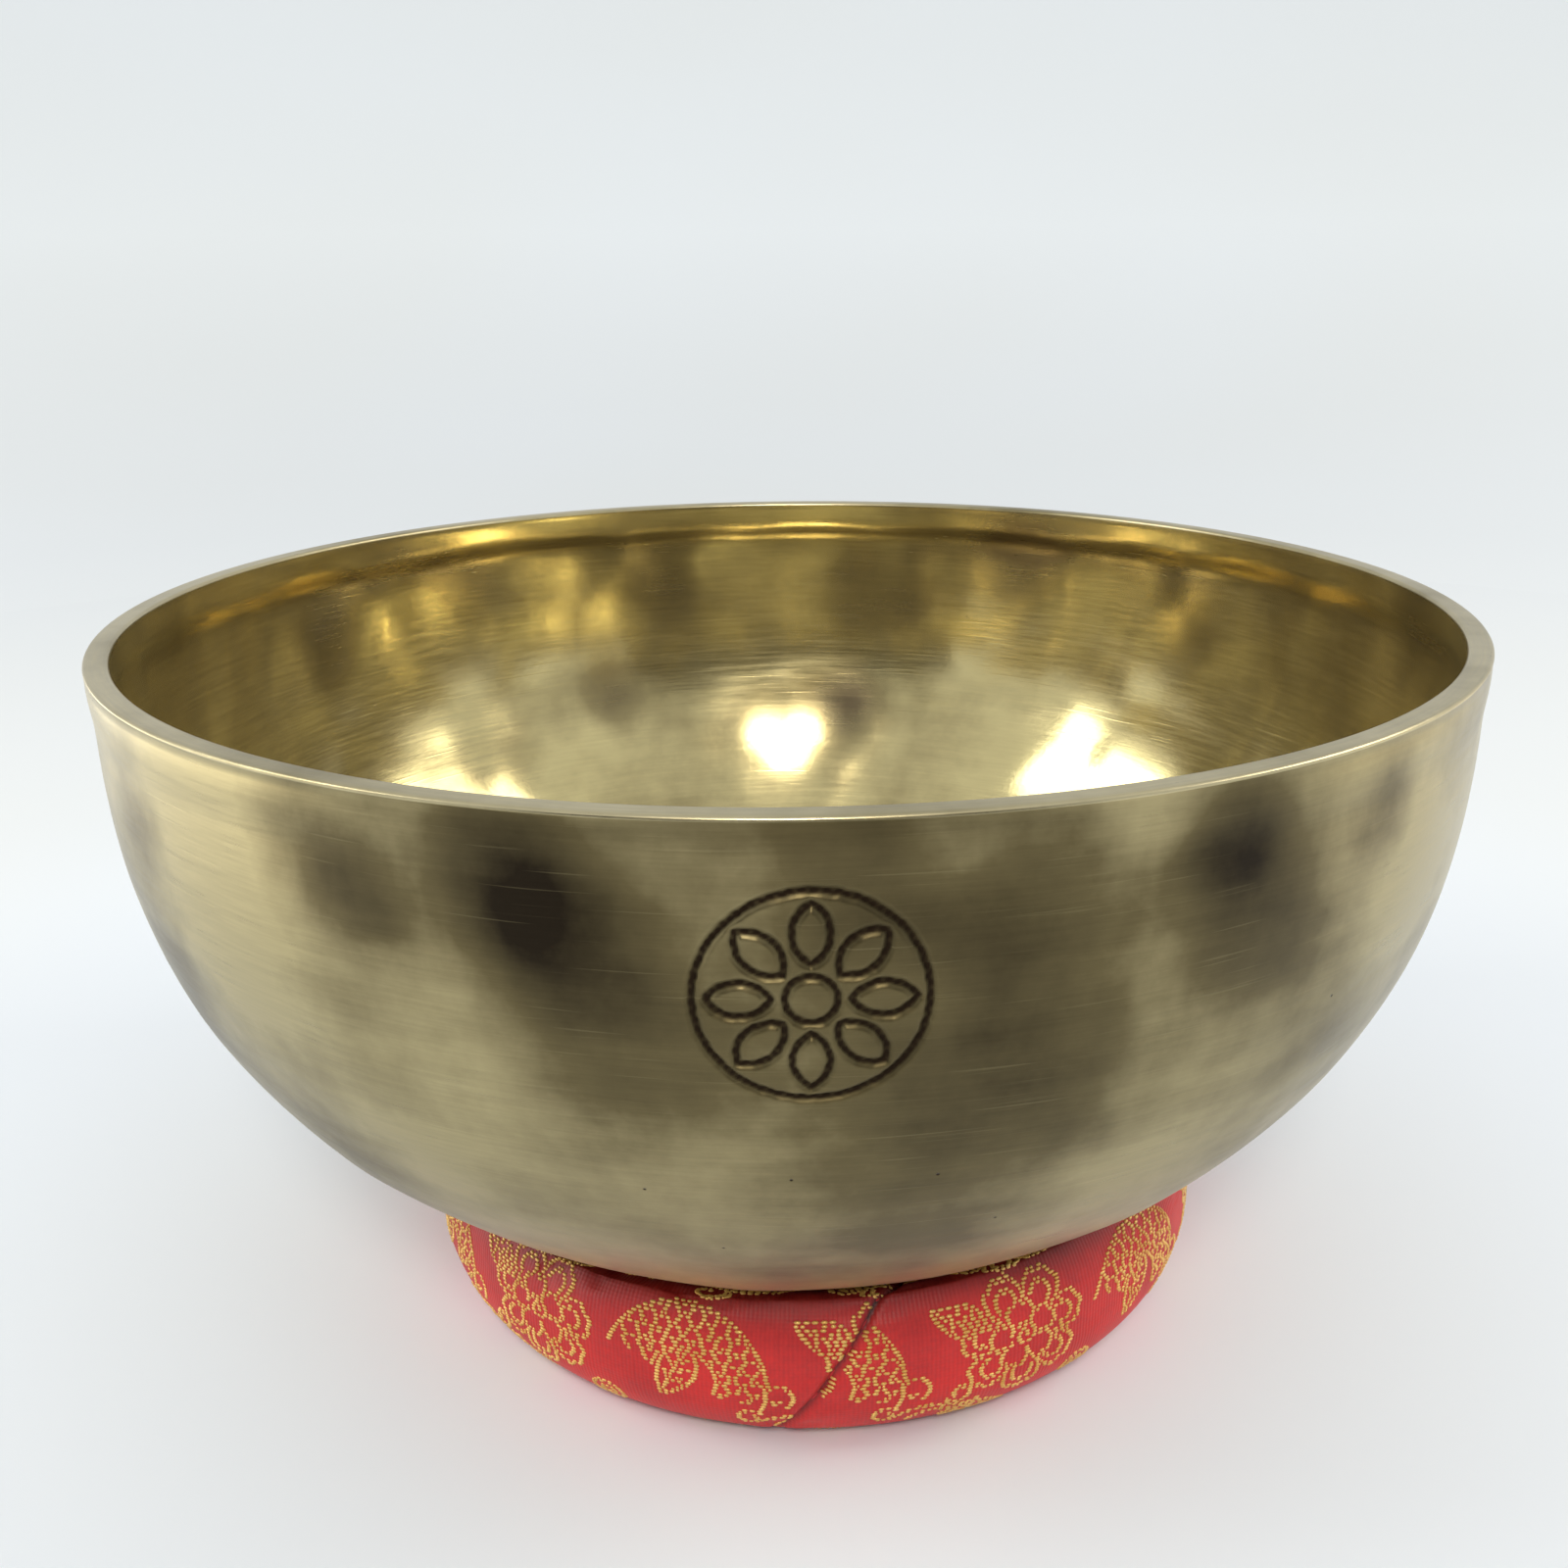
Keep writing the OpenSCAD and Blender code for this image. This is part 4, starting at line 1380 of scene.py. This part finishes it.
@dataclass
class Brocade:
    """The gold figure of the brocade, laid thread by thread on the cushion's cover."""

    cushion: RingCushion
    width: float = 0.66 * MM
    rise: float = 0.22 * MM

    def build(self, mat: bpy.types.Material) -> list[bpy.types.Object]:
        """Weave the figure and lay its floats, in pieces of under 200,000 triangles."""
        ring = self.cushion
        long = TAU * ring.outer_r
        loom = Loom((long + 30 * MM) / MM, ring.girth / MM)
        loom.figure()
        rows = loom.floats()
        u, v, run = rows[:, 0] * MM, rows[:, 1] * MM, rows[:, 2] * MM
        # The strip starts at the slanted seam and ends at it, one turn later.
        turn = ring.join_turn - ring.join_slant + u / ring.outer_r
        start = ring.seam_turn(v)
        keep = (turn > start + 0.5 * MM / ring.outer_r) & (turn < start + TAU - 0.5 * MM / ring.outer_r)
        keep &= (v > 1.2 * MM) & (v < ring.girth - 1.2 * MM)
        u, v, run, turn = u[keep], v[keep], run[keep], turn[keep]
        here, nrm = ring.surface(turn, v)
        half = run / 2 / ring.outer_r
        ahead, _ = ring.surface(turn + half, v)
        behind, _ = ring.surface(turn - half, v)
        along = ahead - behind
        size = np.linalg.norm(along, axis=1)
        along /= size[:, None]
        seated = ring.seat(here, ring.seat_gap)
        pushed = np.linalg.norm(seated - here, axis=1)
        free = pushed < 0.25 * MM
        here, nrm, along, size = seated[free], nrm[free], along[free], size[free]
        side = np.cross(nrm, along)
        nrm = np.cross(along, side)
        count = len(here)
        parts = math.ceil(count * 20 / 190000)
        LOG.info("brocade: %d floats in %d pieces", count, parts)
        out = []
        ends = np.linspace(0, count, parts + 1).astype(int)
        for k in range(parts):
            cut = slice(ends[k], ends[k + 1])
            name = f"brocade_figure_{k + 1}"
            lot = Strewn(name, here[cut], along[cut], nrm[cut], size[cut] * 1.04, self.width, self.rise)
            out.append(lot.build(mat))
        return out


@dataclass
class HandSeams:
    """The stitches that close the cover on its inner side and join its two ends."""

    cushion: RingCushion
    thread: float = 0.6 * MM
    join_count: int = 9

    def closing(self, mat: bpy.types.Material) -> bpy.types.Object:
        """Lay the slanted stitches across the closing seam."""
        ring = self.cushion
        turn = np.arange(ring.stitches) * TAU / ring.stitches + 0.02
        v0 = np.zeros(ring.stitches)
        low, _ = ring.surface(turn - 0.012, v0 - 1.5 * MM)
        high, _ = ring.surface(turn + 0.012, v0 + 1.5 * MM)
        _, nrm = ring.surface(turn, v0)
        return self._lay("closing_stitches", low, high, nrm, 0.25 * MM, mat)

    def joining(self, mat: bpy.types.Material) -> bpy.types.Object:
        """Lay the small stitches along the joining seam."""
        ring = self.cushion
        v = ring.girth * 0.40 + np.linspace(-0.17, 0.17, self.join_count) * ring.girth
        turn = ring.seam_turn(v)
        low, _ = ring.surface(ring.seam_turn(v - 0.7 * MM), v - 0.7 * MM)
        high, _ = ring.surface(ring.seam_turn(v + 0.7 * MM), v + 0.7 * MM)
        _, nrm = ring.surface(turn, v)
        return self._lay("joining_stitches", low, high, nrm, 0.1 * MM, mat, 0.6)

    def _lay(
        self, name: str, low: np.ndarray, high: np.ndarray, nrm: np.ndarray, proud: float,
        mat: bpy.types.Material, thin: float = 1.0,
    ) -> bpy.types.Object:
        """Lay one grain of thread from each low end to its high end."""
        along = high - low
        size = np.linalg.norm(along, axis=1)
        along = along / size[:, None]
        middle = (low + high) / 2 + nrm * proud
        out = np.cross(along, np.cross(nrm, along))
        return Strewn(
            name, middle, along, out, size * 1.25, self.thread * thin, self.thread * thin / 2, 12, 9
        ).build(mat)


# ---------------------------------------------------------------- studio


@dataclass
class Studio:
    """Pale table, soft daylight from the sides, dark cards behind the camera, and the camera."""

    eye: tuple[float, float, float] = (-0.84 * MM, -0.276, 0.1782)
    pitch: float = 0.3232
    roll: float = -0.0111
    lens: float = 36.4
    aim: tuple[float, float, float] = (0.0, 0.0, 0.07)
    daylight: str = "#eef1f3"
    daylight_strength: float = 0.79
    table_r: float = 0.7
    sweep_r: float = 1.3

    def camera(self) -> None:
        """Make the camera and set it as the scene's."""
        data = bpy.data.cameras.new("camera")
        data.lens = self.lens
        data.sensor_width = 36.0
        data.clip_start = 0.01
        data.clip_end = 50.0
        cam = bpy.data.objects.new("camera", data)
        bpy.context.collection.objects.link(cam)
        cam.location = self.eye
        cam.rotation_mode = "QUATERNION"
        tip = Quaternion((1, 0, 0), math.pi / 2 - self.pitch)
        spin = Quaternion((0, 0, 1), self.roll)
        cam.rotation_quaternion = tip @ spin
        bpy.context.scene.camera = cam

    def card(
        self, name: str, foot: tuple[float, float], end: tuple[float, float], top: float,
        colour: str, strength: float, fill: bool,
    ) -> None:
        """Stand a card on the table that the camera doesn't see.

        Args:
            name: Name of the card.
            foot: Where its lower edge starts, in metres.
            end: Where its lower edge ends.
            top: Its height.
            colour: Its colour as a hex value.
            strength: How brightly it glows.
            fill: Whether the table and the cloth see it too, and not only the metal.
        """
        mat, t = new_material(name)
        close_material(t, add(t, "ShaderNodeEmission", {"Color": linear(colour), "Strength": strength}))
        corners = [(*foot, 0.0), (*end, 0.0), (*end, top), (*foot, top)]
        obj = mesh_piece(name, np.array(corners), [[0, 1, 2, 3]], [mat])
        obj.visible_camera = False
        obj.visible_diffuse = fill
        obj.visible_shadow = False
        obj.visible_transmission = False

    def floor(self) -> None:
        """Lay the table, and a backdrop that rises all round it and that only the camera sees."""
        mats = {"table": TableFinish().build(), "backdrop": TableFinish("backdrop_pale", glow=0.12).build()}
        cols = 96
        turn = np.arange(cols) * TAU / cols
        bend = np.linspace(0.1, math.pi / 2, 16)
        edge, sweep = self.table_r, self.sweep_r
        rise = [(edge + sweep * math.sin(a), sweep - sweep * math.cos(a)) for a in bend]
        lines = {
            "table": [(0.0, 0.0), (0.3, 0.0), (edge, 0.0)],
            "backdrop": [(edge, 0.0), *rise, (edge + sweep, 3.0)],
        }
        for name, line in lines.items():
            pts = [[r * math.cos(a), r * math.sin(a), z] for r, z in line for a in turn]
            ids = np.arange(len(line) * cols).reshape(len(line), cols)
            nxt = np.roll(ids, -1, axis=1)
            quads = np.stack([ids[:-1], ids[1:], nxt[1:], nxt[:-1]], axis=2).reshape(-1, 4).tolist()
            obj = mesh_piece(name, np.array(pts), quads, [mats[name]])
            if name == "backdrop":
                obj.visible_diffuse = False
                obj.visible_glossy = False
                obj.visible_shadow = False

    def soft_light(self, name: str, at: tuple, size: tuple, power: float, colour: str) -> None:
        """Hang a soft area light that the camera doesn't see, turned toward the bowl."""
        data = bpy.data.lights.new(name, "AREA")
        data.shape = "RECTANGLE"
        data.size, data.size_y = size
        data.energy = power
        data.color = linear(colour)[:3]
        lamp = bpy.data.objects.new(name, data)
        bpy.context.collection.objects.link(lamp)
        lamp.location = at
        lamp.rotation_mode = "QUATERNION"
        lamp.rotation_quaternion = (Vector(self.aim) - Vector(at)).to_track_quat("-Z", "Y")
        lamp.visible_camera = False

    def build(self) -> None:
        """Set up the floor, world, lights, cards and camera."""
        scene = bpy.context.scene
        scene.view_settings.view_transform = "Standard"
        world = bpy.data.worlds.new("daylight")
        scene.world = world
        world.use_nodes = True
        t = world.node_tree
        t.nodes.clear()
        sky = {"Color": linear(self.daylight), "Strength": self.daylight_strength}
        back = add(t, "ShaderNodeBackground", sky)
        add(t, "ShaderNodeOutputWorld", links={"Surface": back})
        self.floor()
        cards = (
            ("card_front", (-0.62, -0.8), (0.62, -0.8), 0.46, "#37332c", 1.0, True),
            ("card_left", (-0.46, -0.2), (-0.46, 0.3), 0.17, "#fffdf4", 2.7, False),
            ("card_right", (0.5, -0.1), (0.5, 0.3), 0.15, "#fff9ea", 1.4, False),
        )
        for card in cards:
            self.card(*card)
        small, large = (0.3, 0.24), (0.6, 0.42)
        self.soft_light("light_front_top", (0.0, -1.0, 0.96), small, 6.5, "#fff8ea")
        self.soft_light("light_left", (-1.05, -0.05, 0.8), large, 4.5, "#fffdf6")
        self.soft_light("light_right", (1.05, 0.1, 0.78), large, 4.5, "#fffaf0")
        self.camera()


# ---------------------------------------------------------------- main


def main() -> None:
    """Build the bowl, the cushion and the studio in order, and log the bowl's faces, the cushion's swelling
    and each thread piece.
    """
    logging.basicConfig(level=logging.INFO, format="%(message)s")
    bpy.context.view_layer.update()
    lo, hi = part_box("bowl")
    outline = BowlOutline(rim_r=(hi.x - lo.x) / 2 - 0.4 * MM, height=hi.z - lo.z, base_z=lo.z)
    outside = BronzeFinish(
        "bronze_satin_outside", "#ada078", "#6b6043", "#2c251c", 0.3, 0.42, 0.65, 0.10, 0.42
    )
    rim = BronzeFinish("bronze_scraped_rim", "#c9bd98", "#958a68", "#5a513c", 0.3, 0.46, 0.3, 0.12, 0.35)
    inside = BronzeFinish(
        "bronze_golden_inside", "#dccd95", "#a2946a", "#6b5f49", 0.16, 0.3, 0.6, 0.06, 0.6, 0.88
    )
    bowl = HammeredBowl(outline).build([outside.build(), rim.build(), inside.build()])
    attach(bowl, "bowl")
    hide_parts("bowl")
    LOG.info("%s: %d faces", bowl.name, len(bowl.data.polygons))
    ring = RingCushion(outline)
    ring.puff()
    cover = ring.cover([SatinGround().build()])
    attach(cover, "cushion")
    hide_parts("cushion_cover")
    gold = ThreadFinish("gold_wrapped_thread", "#f6cf7e", "#cf9a48", 0.34, 0.5)
    for piece in Brocade(ring).build(gold.build()):
        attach(piece, "cushion")
    cotton = ThreadFinish("cotton_wadding", "#efe8da", "#d8cdb8", 0.9, 0.0, 0.4 * MM)
    wadding = ring.filling([cotton.build()])
    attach(wadding, "cushion")
    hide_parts("cushion_filling")
    thread = ThreadFinish("sewing_thread_red", "#c4222c", "#8d141e", 0.6, 0.0).build()
    seams = HandSeams(ring)
    for piece, node in ((seams.closing(thread), "closing_seam"), (seams.joining(thread), "joining_seam")):
        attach(piece, "cushion")
        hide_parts(node)
    Studio().build()


if __name__ == "__main__":
    main()
